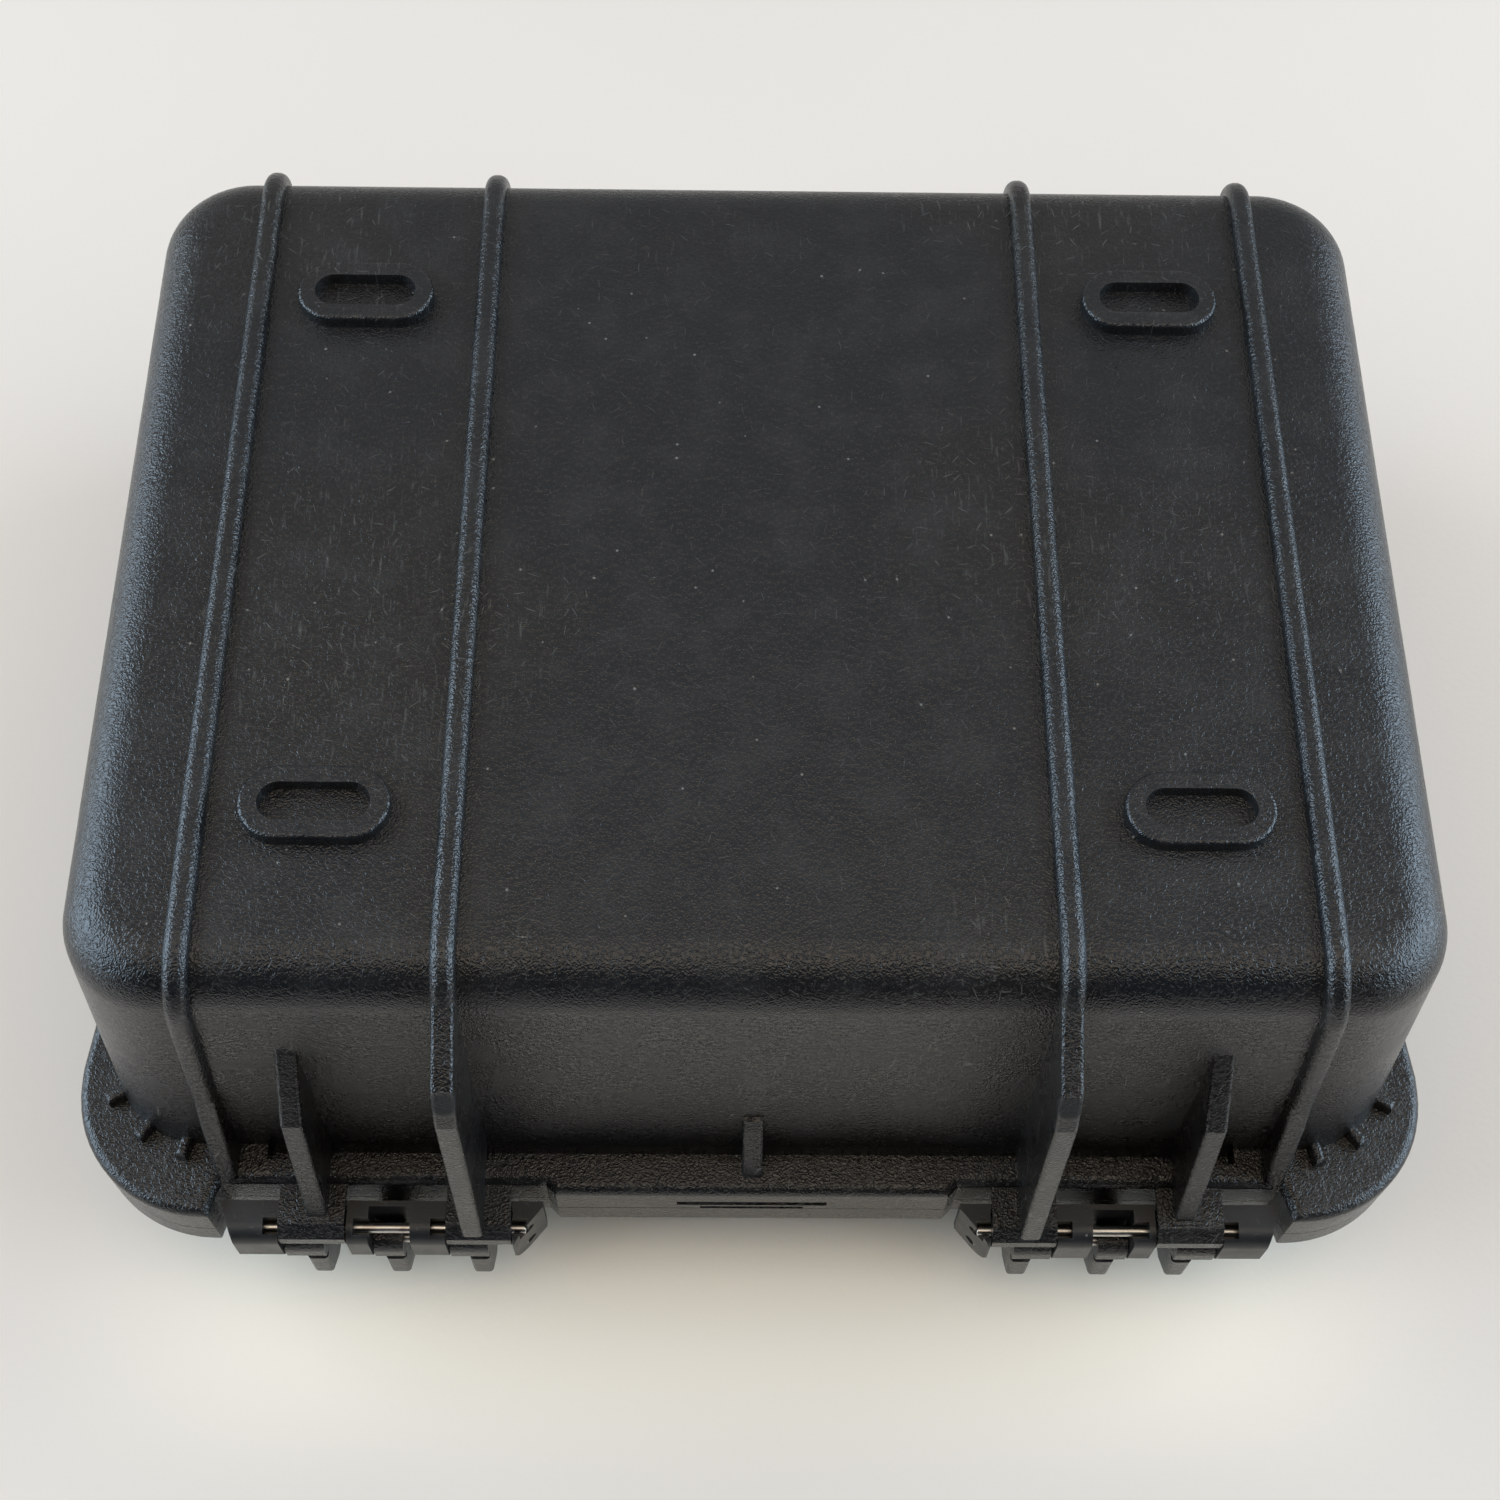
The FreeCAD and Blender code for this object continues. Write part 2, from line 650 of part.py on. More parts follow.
def channel_form(body, name):
    """The narrow channel between the hinge-side wall and the flange's lip."""
    half = size.second_fin_x + 16
    wall_y = -(HALF_Y + (size.base_height - size.base_flange) * LEAN)
    sketch = blank_sketch(body, name + "Outline", "XY", BASE_FLANGE_Z)
    add_polygon(sketch, box_points(-half, half, wall_y - size.channel_width, wall_y))
    extrude(body, name, sketch, size.channel_depth, down=True)


def base_gussets(side, tag):
    inside = -(HALF_Y - 6)
    foot_z = BASE_PIN_Z + SHELF_RISE - 0.2
    pin_outer = PIN_Y - size.knuckle_radius

    def at(out, drop):
        return (-(HALF_Y + out), UNDER_Z - drop)

    outer_drop = size.outer_rib_drop
    return [
        single("fin_collar_" + tag, slab, "YZ", side * size.second_fin_x,
               box_points(PIN_Y - 0.2, PIN_Y + size.knuckle_radius, foot_z, foot_z + 0.9),
               size.fin_width + 1.4),
        gusset("inner_fin_" + tag, side * size.inner_rib_x, [
            (inside, UNDER_Z - size.base_edge * 0.4),
            at(-2.4, 3.6),
            at(size.fin_facet_out, size.fin_facet_drop),
            at(size.fin_ridge_out, size.fin_ridge_drop),
            (pin_outer, foot_z),
            (inside, foot_z),
        ]),
        gusset("second_fin_" + tag, side * size.second_fin_x, [
            (inside, UNDER_Z - size.second_fin_drop + 1),
            at(2, size.second_fin_drop),
            at(size.second_fin_out, size.second_knee_drop),
            (PIN_Y + 0.8, foot_z),
            (inside, foot_z),
        ]),
        gusset("outer_fin_" + tag, side * size.outer_fin_x, [
            (inside, UNDER_Z - outer_drop + 1),
            at(size.outer_fin_out, outer_drop - 1),
            at(size.outer_fin_out + 3.2, outer_drop + 10),
            at(size.outer_foot_out, size.base_height - size.base_flange + 1),
            (inside, BASE_FLANGE_Z - 1),
        ]),
    ]


def centre_fin():
    """The small gusset at the middle of the hinge-side flange."""
    inside = -(HALF_Y - 1)
    top_z = UNDER_Z - size.centre_fin_drop
    return gusset("centre_fin", as_size(0), [
        (inside, top_z),
        (-(HALF_Y + size.centre_fin_out), top_z - 1),
        (-(HALF_Y + size.centre_fin_out + 2), top_z - 5),
        (-(HALF_Y + size.rear_flange - 4.5), BASE_FLANGE_Z - 1),
        (inside, BASE_FLANGE_Z - 1),
    ])


def bumper_nubs(side, tag):
    """Three short ribs where each rear corner of the wall meets its bumper."""
    centre_x = RIM_X - size.corner_radius - size.wall
    centre_y = -(RIM_Y - size.corner_radius - size.wall)
    outer = size.corner_radius + size.wall + size.nub_reach
    inner = outer - 14
    half = size.rib_width / 4
    pieces = []
    for number, angle in enumerate(NUB_ANGLES):
        across = math.cos(math.radians(angle))
        back = math.sin(math.radians(angle))
        corners = []
        for along, turn in ((inner, -1), (outer, -1), (outer, 1), (inner, 1)):
            corners.append((side * (centre_x + along * across - turn * half * back),
                            centre_y - along * back - turn * half * across))
        body = new_body(f"nub_{tag}_{number}")
        sketch = blank_sketch(body, "Outline", "XY", BASE_FLANGE_Z - 2)
        add_polygon(sketch, corners)
        extrude(body, "Nub", sketch, size.nub_height + 2)
        round_edges(body, "NubEdge", size.fin_edge, level_at(BASE_FLANGE_Z + size.nub_height))
        pieces.append(body)
    return pieces


def latch_lugs(side, tag):
    """Two lugs that hold a latch's pin in front of the latch-side wall."""
    radius = size.latch_pin_radius + 3.5
    points = [
        (HALF_Y, BASE_FLANGE_Z - 2),
        (LATCH_FACE_Y, BASE_FLANGE_Z - 2),
        (LATCH_PIN_Y + radius, LATCH_PIN_Z - radius / 2),
        (LATCH_PIN_Y + radius, LATCH_PIN_Z + radius),
        (HALF_Y, LATCH_PIN_Z + radius + 8),
    ]
    offset = (size.latch_width + size.lug_width) / 2 + size.side_gap
    return [
        single(f"latch_lug_{tag}_{end + 1}", slab, "YZ", side * size.latch_x + end * offset,
               points, size.lug_width)
        for end in (-1, 1)
    ]


def handle_lug(side, tag):
    """A lug outboard of one handle arm."""
    radius = size.handle_deep / 2
    middle = side * HANDLE_LUG_X
    body = new_body("handle_lug_" + tag)
    slab(body, "Plate", "YZ", middle, [
        (HALF_Y, HANDLE_PIN_Z - radius - 5),
        (HANDLE_PIN_Y, HANDLE_PIN_Z - radius),
        (HANDLE_PIN_Y, HANDLE_PIN_Z + radius),
        (HALF_Y, HANDLE_PIN_Z + radius + 5),
    ], size.lug_width)
    rod(body, "End", middle, HANDLE_PIN_Y, HANDLE_PIN_Z, radius, size.lug_width)
    return [body]


def valve_boss():
    return single("valve_boss", disc, VALVE_FACE_Y, size.valve_boss, size.valve_face + 2)


def lock_hole(name, side, low_z, high_z):
    body = new_body(name)
    sketch = blank_sketch(body, "Circle", "XY", low_z - 1)
    add_circle(sketch, side * size.lock_x, HALF_Y + size.lock_out, size.lock_radius)
    extrude(body, "Hole", sketch, high_z - low_z + 2)
    return body


def make_lid_shell():
    face_z = size.rib_proud
    solids = [
        tub("lid_tub", face_z, 1, LID_X, LID_Y, LID_RIM_Z - face_z, size.corner_radius,
            size.lid_edge, size.draft_angle),
        rim_flange("lid_flange_plate", LID_RIM_Z, LID_RIM_Z - LID_FLANGE_Z, False),
    ]
    cutters = [
        tub("lid_hollow", face_z + size.wall, 1, LID_X - size.wall, LID_Y - size.wall,
            LID_RIM_Z - face_z - size.wall + 1, size.corner_radius - size.wall,
            size.lid_edge - size.wall, size.draft_angle),
        seal_ring("seal_groove", as_size(0), LID_RIM_Z - size.groove_depth, size.groove_depth + 1),
    ]
    drop = size.lid_height - size.lid_flange + 1
    for side, tag in ((-1, "left"), (1, "right")):
        for name, rib_x in (("inner", size.inner_rib_x), ("outer", size.outer_rib_x)):
            solids.append(rib(f"lid_{name}_rib_{tag}", side * rib_x, face_z, 1, LID_Y, drop, drop,
                              size.lid_edge))
        solids += lid_gussets(side, tag)
        solids += knuckles("lid_knuckle_" + tag, side, LID_KNUCKLES, LID_PIN_Z, -1)
        for row, place in ((-1, "rear"), (1, "front")):
            solids.append(lid_pad(f"lid_pad_{tag}_{place}", side, row))
        cutters += [
            bore("lid_pin_bore_" + tag, side * size.hinge_x, PIN_Y, LID_PIN_Z, size.pin_radius,
                 size.hinge_pin_length + 2),
            lock_hole("lid_lock_hole_" + tag, side, LID_FLANGE_Z, LID_RIM_Z),
        ]
    PARTS.append(cut_from("lid_shell", fused("lid_outside", solids), cutters))


def lid_pad(name, side, row):
    """A low pad on the lid that nests in a ring foot of the next case."""
    inset = 2 * (size.ring_wall + size.nest_gap)
    return obround(name, as_size(0), side * size.ring_x, row * size.ring_y,
                   size.ring_length - inset, size.ring_width - inset, size.rib_proud + 1)


def lid_gussets(side, tag):
    """Webs under the lid's knuckles."""
    inside = -(HALF_Y - 2)
    top_z = LID_PIN_Z - SHELF_RISE + 0.2
    outer = PIN_Y - size.knuckle_radius
    return [
        gusset(f"lid_fin_{tag}_{number}", side * (size.hinge_x + offset), [
            (inside, top_z),
            (outer, top_z),
            (outer, top_z - size.lid_fin_height * 0.5),
            (PIN_Y + 2, top_z - size.lid_fin_height * 0.75),
            (inside, top_z - size.lid_fin_height),
        ])
        for number, offset in enumerate(LID_FINS)
    ]


def seal_ring(name, inset, low_z, height):
    """A rectangular ring with round corners on the seal's line, inset all round."""
    out = size.groove_inset + size.groove_width - size.wall - inset
    width = size.groove_width - 2 * inset
    outer_x, outer_y = RIM_X + out, RIM_Y + out
    body = new_body(name)
    sketch = blank_sketch(body, "Outline", "XY", low_z)
    add_polygon(sketch, box_points(-outer_x, outer_x, -outer_y, outer_y))
    add_polygon(sketch, box_points(width - outer_x, outer_x - width,
                                   width - outer_y, outer_y - width))
    extrude(body, "Ring", sketch, height)
    outer_radius = size.corner_radius + out
    for label, corner_x, radius in (("Outer", outer_x, outer_radius),
                                    ("Inner", outer_x - width, outer_radius - width)):
        round_edges(body, label + "Corners", radius, upright_at(corner_x))
    return body


def upright_at(corner_x):
    def test(edge):
        spot = middle_of(edge)
        return upright(edge) and abs(abs(spot.x) - corner_x.value) < 0.05
    return test


def make_rim_seal():
    gap = size.seal_gap
    PARTS.append(seal_ring("rim_seal", gap, LID_RIM_Z - size.groove_depth + gap,
                           size.groove_depth))


# ---------------------------------------------------------------- hinges

def make_hinge_link(side, label):
    """A moulded link that turns on the lid's pin and carries the base's pin."""
    body = new_part(label)
    middle = side * size.hinge_x
    radius = size.link_radius
    height = 2 * (size.pin_rise + radius)
    low_z = PARTING_Z - height / 2
    plate_y = PIN_Y + size.knuckle_radius + size.side_gap
    slab(body, "Web", "YZ", middle,
         box_points(plate_y, plate_y + size.link_plate, low_z, low_z + height), size.link_width)
    for number, (low, high) in enumerate(LINK_COLUMNS):
        at = side * (size.hinge_x + (low + high) / 2)
        wide = as_size(high - low)
        for level, pin_z in (("Lower", LID_PIN_Z), ("Upper", BASE_PIN_Z)):
            rod(body, f"{level}Eye{number}", at, PIN_Y, pin_z, radius, wide)
        slab(body, f"Front{number}", "YZ", at,
             box_points(PIN_Y - radius, PIN_Y, LID_PIN_Z, BASE_PIN_Z), wide)
        slab(body, f"Cheek{number}", "YZ", at,
             box_points(PIN_Y, plate_y + 0.5, low_z, low_z + height), wide)
    for level, pin_z in (("Lower", LID_PIN_Z), ("Upper", BASE_PIN_Z)):
        rod(body, level + "Bore", middle, PIN_Y, pin_z, size.pin_radius + size.run_gap,
            size.link_width + 2, cut=True)
    for number, start in enumerate(LINK_WINDOWS):
        at = side * (size.hinge_x + start + size.window / 2)
        slab(body, f"Window{number}", "YZ", at,
             box_points(PIN_Y - 0.75 * size.window, PIN_Y + size.pin_radius, BASE_PIN_Z,
                        low_z + height + 1), size.window, cut=True)
    slant_end(body, "InnerSlant", side, -1, size.inner_slant, low_z, height, plate_y)
    slant_end(body, "OuterSlant", side, 1, size.outer_slant, low_z, height, plate_y)
    return body


def slant_end(body, name, side, end, slant, low_z, height, plate_y):
    """Cut one end of a hinge link back towards its outer face."""
    tip = size.hinge_x + end * LINK_HALF
    front_y = PIN_Y - size.link_radius
    sketch = blank_sketch(body, name + "Outline", "XY", low_z - 1)
    add_polygon(sketch, [
        (side * (tip + end), plate_y),
        (side * tip, plate_y),
        (side * (tip - end * slant), front_y),
        (side * (tip - end * slant), front_y - 1),
        (side * (tip + end), front_y - 1),
    ])
    extrude(body, name, sketch, height + 2, cut=True)


def make_pin(label, middle_x, across_y, up_z, radius, length):
    body = new_part(label)
    rod(body, "Shank", middle_x, across_y, up_z, radius, length)
    DOC.recompute()
    round_edges(body, "Ends", radius / 4, lambda edge: edge.BoundBox.XLength < 0.01)
    return body


def make_hinges():
    for side, tag in ((-1, "left"), (1, "right")):
        make_hinge_link(side, "hinge_link_" + tag)
        for owner, pin_z in (("base", BASE_PIN_Z), ("lid", LID_PIN_Z)):
            make_pin(f"{owner}_hinge_pin_{tag}", side * size.hinge_x, PIN_Y, pin_z,
                     size.pin_radius, size.hinge_pin_length)


# ---------------------------------------------------------------- latches

def make_latch_body(side, label):
    """The latch hangs from its pin, spans both flanges and hooks under the lid's flange."""
    body = new_part(label)
    middle = side * size.latch_x
    nose_z = LID_FLANGE_Z - size.hook_gap
    knuckle = size.latch_pin_radius + 3.2
    slab(body, "Plate", "YZ", middle, [
        (LATCH_FRONT_Y, nose_z - size.hook_height),
        (LATCH_FRONT_Y, LATCH_PIN_Z),
        (LATCH_PIN_Y - knuckle, LATCH_PIN_Z),
        (LATCH_PIN_Y - knuckle, BASE_FLANGE_Z + 3),
        (LATCH_BACK_Y, BASE_FLANGE_Z + 1),
        (LATCH_BACK_Y, nose_z),
        (LATCH_FACE_Y - size.hook_reach, nose_z),
        (LATCH_FACE_Y - size.hook_reach, nose_z - 2),
        (LATCH_FACE_Y - size.hook_reach + 3, nose_z - size.hook_height),
    ], size.latch_width)
    rod(body, "Knuckle", middle, LATCH_PIN_Y, LATCH_PIN_Z, knuckle, size.latch_width)
    ear_x = size.latch_width / 2 - EAR_WIDTH / 2
    for number, end in enumerate((-1, 1)):
        ear = middle + end * ear_x
        slab(body, f"Ear{number}", "YZ", ear, [
            (LATCH_BACK_Y + 1, LEVER_PIN_Z - 6),
            (LEVER_PIN_Y + 1.5, LEVER_PIN_Z - 4),
            (LEVER_PIN_Y + 2.75, LEVER_PIN_Z + 4),
            (LATCH_FRONT_Y - 1, LATCH_PIN_Z - 4),
        ], EAR_WIDTH)
    rod(body, "PinBore", middle, LATCH_PIN_Y, LATCH_PIN_Z,
        size.latch_pin_radius + size.run_gap, size.latch_width + 2, cut=True)
    rod(body, "LeverBore", middle, LEVER_PIN_Y, LEVER_PIN_Z, size.pin_radius,
        size.latch_width + 2, cut=True)
    return body


def make_latch_lever(side, label):
    """The pull plate of a latch, pinned near its lower end between the latch's ears."""
    body = new_part(label)
    middle = side * size.latch_x
    half = size.lever_plate / 2
    top_z = BASE_FLANGE_Z - 1
    slab(body, "Pull", "YZ", middle, [
        (LEVER_BACK_Y, LEVER_PIN_Z),
        (LEVER_BACK_Y + size.lever_plate, LEVER_PIN_Z),
        (LEVER_BACK_Y + size.lever_plate, top_z - 6),
        (LEVER_BACK_Y + size.lever_plate + 2, top_z),
        (LEVER_BACK_Y + size.lever_plate - 1, top_z + 1),
        (LEVER_BACK_Y + 1.5, top_z - 5),
        (LEVER_BACK_Y, top_z - 8),
    ], 2 * LEVER_HALF)
    rod(body, "Eye", middle, LEVER_PIN_Y, LEVER_PIN_Z, half, 2 * LEVER_HALF)
    rod(body, "Bore", middle, LEVER_PIN_Y, LEVER_PIN_Z, size.pin_radius + size.run_gap,
        2 * LEVER_HALF + 2, cut=True)
    return body


def make_latches():
    for side, tag in ((-1, "left"), (1, "right")):
        middle = side * size.latch_x
        make_latch_body(side, "latch_body_" + tag)
        make_latch_lever(side, "latch_lever_" + tag)
        make_pin("latch_pin_" + tag, middle, LATCH_PIN_Y, LATCH_PIN_Z, size.latch_pin_radius,
                 size.latch_width + 2 * (size.lug_width + size.side_gap) - 0.5)
        make_pin("lever_pin_" + tag, middle, LEVER_PIN_Y, LEVER_PIN_Z, size.pin_radius,
                 size.latch_width - 0.5)


# ---------------------------------------------------------------- handle

def make_handle_frame():
    body = new_part("handle_frame")
    deep = size.handle_deep / 2
    for side in (-1, 1):
        tag = "Left" if side < 0 else "Right"
        middle = side * ARM_X
        arm = box_points(HANDLE_PIN_Y - deep, HANDLE_PIN_Y + deep,
                         GRIP_Z - size.grip_height / 2 + deep, HANDLE_PIN_Z)
        slab(body, "Arm" + tag, "YZ", middle, arm, size.handle_arm)
        rod(body, "ArmEye" + tag, middle, HANDLE_PIN_Y, HANDLE_PIN_Z, deep, size.handle_arm)
        rod(body, "ArmFoot" + tag, middle, HANDLE_PIN_Y, GRIP_Z - size.grip_height / 2 + deep,
            deep, size.handle_arm)
        rod(body, "ArmBore" + tag, middle, HANDLE_PIN_Y, HANDLE_PIN_Z,
            size.latch_pin_radius + size.run_gap, size.handle_arm + 1, cut=True)
    core = size.grip_core / 2
    reach = size.grip_height / 2 - (size.handle_deep - size.grip_core) / 2 - core
    slab(body, "Core", "YZ", as_size(0),
         box_points(HANDLE_PIN_Y - core, HANDLE_PIN_Y + core, GRIP_Z - reach, GRIP_Z + reach),
         size.handle_span)
    for number, end in enumerate((-1, 1)):
        rod(body, f"CoreRound{number}", as_size(0), HANDLE_PIN_Y, GRIP_Z + end * reach, core,
            size.handle_span)
    end_block = (size.handle_span - size.handle_arm - size.grip_length) / 2
    for side in (-1, 1):
        middle = side * (size.grip_length + end_block) / 2
        high = size.grip_height / 2 - deep
        tag = "Left" if side < 0 else "Right"
        slab(body, "Shoulder" + tag, "YZ", middle,
             box_points(HANDLE_PIN_Y - deep, HANDLE_PIN_Y + deep, GRIP_Z - high, GRIP_Z + high),
             end_block + 1)
        for number, end in enumerate((-1, 1)):
            rod(body, f"Shoulder{tag}Round{number}", middle, HANDLE_PIN_Y, GRIP_Z + end * high,
                deep, end_block + 1)
    return body


def make_handle_grip():
    """The soft sleeve moulded over the handle's core."""
    body = new_part("handle_grip")
    deep = size.handle_deep / 2
    length = size.grip_length - 1.5
    high = size.grip_height / 2 - deep
    core = size.grip_core / 2
    reach = size.grip_height / 2 - (size.handle_deep - size.grip_core) / 2 - core
    for cut, half, rise, long in ((False, deep, high, length), (True, core, reach, length + 2)):
        tag = "Inside" if cut else "Outside"
        slab(body, tag, "YZ", as_size(0),
             box_points(HANDLE_PIN_Y - half, HANDLE_PIN_Y + half, GRIP_Z - rise, GRIP_Z + rise),
             long, cut=cut)
        for number, end in enumerate((-1, 1)):
            rod(body, f"{tag}Round{number}", as_size(0), HANDLE_PIN_Y, GRIP_Z + end * rise, half,
                long, cut=cut)
    return body


def make_handle():
    make_handle_frame()
    make_handle_grip()
    long = size.handle_arm + size.lug_width + size.side_gap - 0.5
    for side, tag in ((-1, "left"), (1, "right")):
        middle = side * (ARM_X - size.handle_arm / 2 + long / 2 + 0.2)
        make_pin("handle_pin_" + tag, middle, HANDLE_PIN_Y, HANDLE_PIN_Z,
                 size.latch_pin_radius, long)


# ---------------------------------------------------------------- pressure valve

def disc(body, name, face_y, radius, thickness, cut=False):
    """A round plate square to Y that starts at face_y and grows towards -Y."""
    sketch = blank_sketch(body, name + "Circle", "XZ", face_y)
    add_circle(sketch, 0, VALVE_Z, radius)
    return extrude(body, name, sketch, thickness, cut=cut)


def make_valve():
    seal = size.valve_seal
    cap_high = size.valve_cap_height
    stem_gap = 0.1
    inner_y = HALF_Y - 8
    body = new_part("valve_body")
    disc(body, "Cap", VALVE_FACE_Y + seal + cap_high, size.valve_cap, cap_high)
    round_edges(body, "CapEdge", as_size(1.5),
                lambda edge: edge.BoundBox.YMin > (VALVE_FACE_Y + seal + cap_high).value - 0.01)
    disc(body, "Stem", VALVE_FACE_Y + seal + 1, size.valve_bore - stem_gap,
         VALVE_FACE_Y + seal + 1 - inner_y)
    disc(body, "Vent", VALVE_FACE_Y + 2, size.valve_bore / 2, VALVE_FACE_Y + 4 - inner_y, cut=True)
    disc(body, "MembraneSeat", inner_y + 1, size.valve_bore * 0.7, as_size(2), cut=True)

    body = new_part("valve_membrane")
    disc(body, "Film", inner_y + 0.9, size.valve_bore * 0.7 - stem_gap, as_size(0.6))

    body = new_part("valve_seal_ring")
    disc(body, "Outer", VALVE_FACE_Y + seal, size.valve_cap - 1.5, seal)
    disc(body, "Inner", VALVE_FACE_Y + seal + 1, size.valve_bore + 0.2, seal + 2, cut=True)

    body = new_part("valve_nut")
    across = size.valve_nut
    nut_face = HALF_Y - size.wall + size.valve_drop * LEAN - 0.9
    sketch = blank_sketch(body, "HexOutline", "XZ", nut_face)
    add_polygon(sketch, [(across * math.cos(math.radians(60 * turn)),
                          VALVE_Z + across * math.sin(math.radians(60 * turn)))
                         for turn in range(6)])
    extrude(body, "Hex", sketch, as_size(5))
    disc(body, "Thread", nut_face + 1, size.valve_bore + 0.05, as_size(8), cut=True)


# ---------------------------------------------------------------- foam inserts

def pocket(body, name, face_z, x_low, x_high, y_low, y_high, depth):
    sketch = blank_sketch(body, name + "Outline", "XY", face_z)
    add_polygon(sketch, box_points(x_low, x_high, y_low, y_high))
    return extrude(body, name, sketch, depth, cut=True)


def foam_block(label, low_z, height, half_x, half_y, corner, leaning_out):
    body = new_part(label)
    sketch = blank_sketch(body, "BlockOutline", "XY", low_z)
    add_polygon(sketch, box_points(-half_x, half_x, -half_y, half_y))
    extrude(body, "Block", sketch, height, taper=size.draft_angle if leaning_out
            else -size.draft_angle)
    round_edges(body, "BlockCorners", corner, upright)
    return body


def make_base_foam():
    """A layer with bays cut right through it, and a plain pad between it and the base's floor."""
    low_z = PARTING_Z + size.foam_setback
    slack = size.wall + size.foam_gap + size.foam_setback * LEAN
    corner = size.corner_radius - size.wall - size.foam_gap
    body = foam_block("base_foam", low_z, size.cut_layer, RIM_X - slack, RIM_Y - slack, corner,
                      False)
    bay = size.bay_wall
    right = HALF_X - size.wall - bay
    left = -right
    rear = -(HALF_Y - size.wall - bay)
    front = HALF_Y - size.wall - bay
    deep = size.cut_layer + 1
    pocket(body, "DroneBay", low_z, left, left + size.drone_bay_x,
           front - size.drone_bay_y, front, deep)
    pocket(body, "ControlBay", low_z, left, left + size.drone_bay_x, rear,
           front - size.drone_bay_y - bay, deep)
    pitch = (front - rear + bay) / 3
    for number in range(3):
        start = rear + number * pitch
        pocket(body, f"BatteryBay{number}", low_z, right - size.battery_bay_x, right,
               start, start + pitch - bay, deep)
    room = size.valve_bore + 6
    relief = blank_sketch(body, "ValveRoomOutline", "XZ", RIM_Y)
    add_polygon(relief, box_points(-room, room, VALVE_Z - room, VALVE_Z + room))
    extrude(body, "ValveRoom", relief, RIM_Y - HALF_Y + 12, cut=True)

    rise = (size.cut_layer + 0.5) * LEAN
    pad_z = low_z + size.cut_layer + 0.5
    pad_height = UNDER_Z - size.wall - 0.5 - pad_z
    pad = foam_block("base_foam_pad", pad_z, pad_height, RIM_X - slack - rise,
                     RIM_Y - slack - rise, corner, False)
    round_edges(pad, "PadEdge", size.base_edge - size.wall, level_at(pad_z + pad_height))


def make_lid_foam():
    low_z = size.rib_proud + size.wall + 0.5
    slack = size.wall + size.foam_gap
    rise = (PARTING_Z - low_z) * LEAN
    corner = size.corner_radius - size.wall - size.foam_gap
    body = foam_block("lid_foam", low_z, size.lid_foam, RIM_X - slack - rise,
                      RIM_Y - slack - rise, corner, True)
    round_edges(body, "BlockEdge", size.lid_edge - size.wall, level_at(low_z))
    return body


# ---------------------------------------------------------------- build, check and write

def check_document():
    DOC.recompute()
    for item in DOC.Objects:
        if "Invalid" in item.State or "Error" in item.State:
            raise RuntimeError(f"{item.Label} failed: {item.State}")
    for body in PARTS:
        if body.Shape.isNull() or not body.Shape.isValid():
            raise RuntimeError(f"{body.Label} has no valid shape")
        if len(body.Shape.Solids) != 1:
            raise RuntimeError(f"{body.Label} is {len(body.Shape.Solids)} solids")


def write_steps():
    os.makedirs("parts", exist_ok=True)
    for body in PARTS:
        body.Shape.exportStep(f"parts/{body.Label}.step")
        box = body.Shape.BoundBox
        print(f"{body.Label:24s} {box.XLength:7.1f} {box.YLength:7.1f} {box.ZLength:7.1f}")


make_lid_shell()
make_base_shell()
make_rim_seal()
make_hinges()
make_latches()
make_handle()
make_valve()
make_base_foam()
make_lid_foam()
check_document()
write_steps()
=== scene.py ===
import math

import bmesh
import bpy
from mathutils import Matrix, Vector, noise


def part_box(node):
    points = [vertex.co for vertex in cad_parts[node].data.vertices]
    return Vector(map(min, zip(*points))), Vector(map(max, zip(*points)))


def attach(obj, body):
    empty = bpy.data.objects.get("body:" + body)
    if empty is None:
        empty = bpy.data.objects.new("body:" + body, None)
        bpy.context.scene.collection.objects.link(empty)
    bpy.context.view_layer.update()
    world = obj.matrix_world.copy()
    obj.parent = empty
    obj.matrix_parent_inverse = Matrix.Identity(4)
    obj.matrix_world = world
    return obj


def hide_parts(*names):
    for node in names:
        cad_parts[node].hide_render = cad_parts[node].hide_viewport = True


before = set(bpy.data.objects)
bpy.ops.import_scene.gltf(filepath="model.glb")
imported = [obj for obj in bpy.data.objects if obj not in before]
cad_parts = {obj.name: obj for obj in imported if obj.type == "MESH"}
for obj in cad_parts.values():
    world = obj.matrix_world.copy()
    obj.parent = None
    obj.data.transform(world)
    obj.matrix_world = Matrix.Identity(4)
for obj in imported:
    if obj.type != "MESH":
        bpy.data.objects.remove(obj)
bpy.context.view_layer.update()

# A black moulded carrying case standing upside down on the ribs of its lid.
# Metres, in the CAD frame: +Z up, the hinges at -Y, the latches and the handle at +Y.

MM = 0.001
BASE_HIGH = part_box("base_shell")[1]
RING_HEIGHT = 4.6 * MM
UNDER_Z = BASE_HIGH.z - RING_HEIGHT
INNER_RIB_X = 82.3 * MM
HALF_DEPTH = 139 * MM
FIN_KINK = Vector((INNER_RIB_X, -HALF_DEPTH - 23.5 * MM, UNDER_Z - 21 * MM))


# ---------------------------------------------------------------- node tools

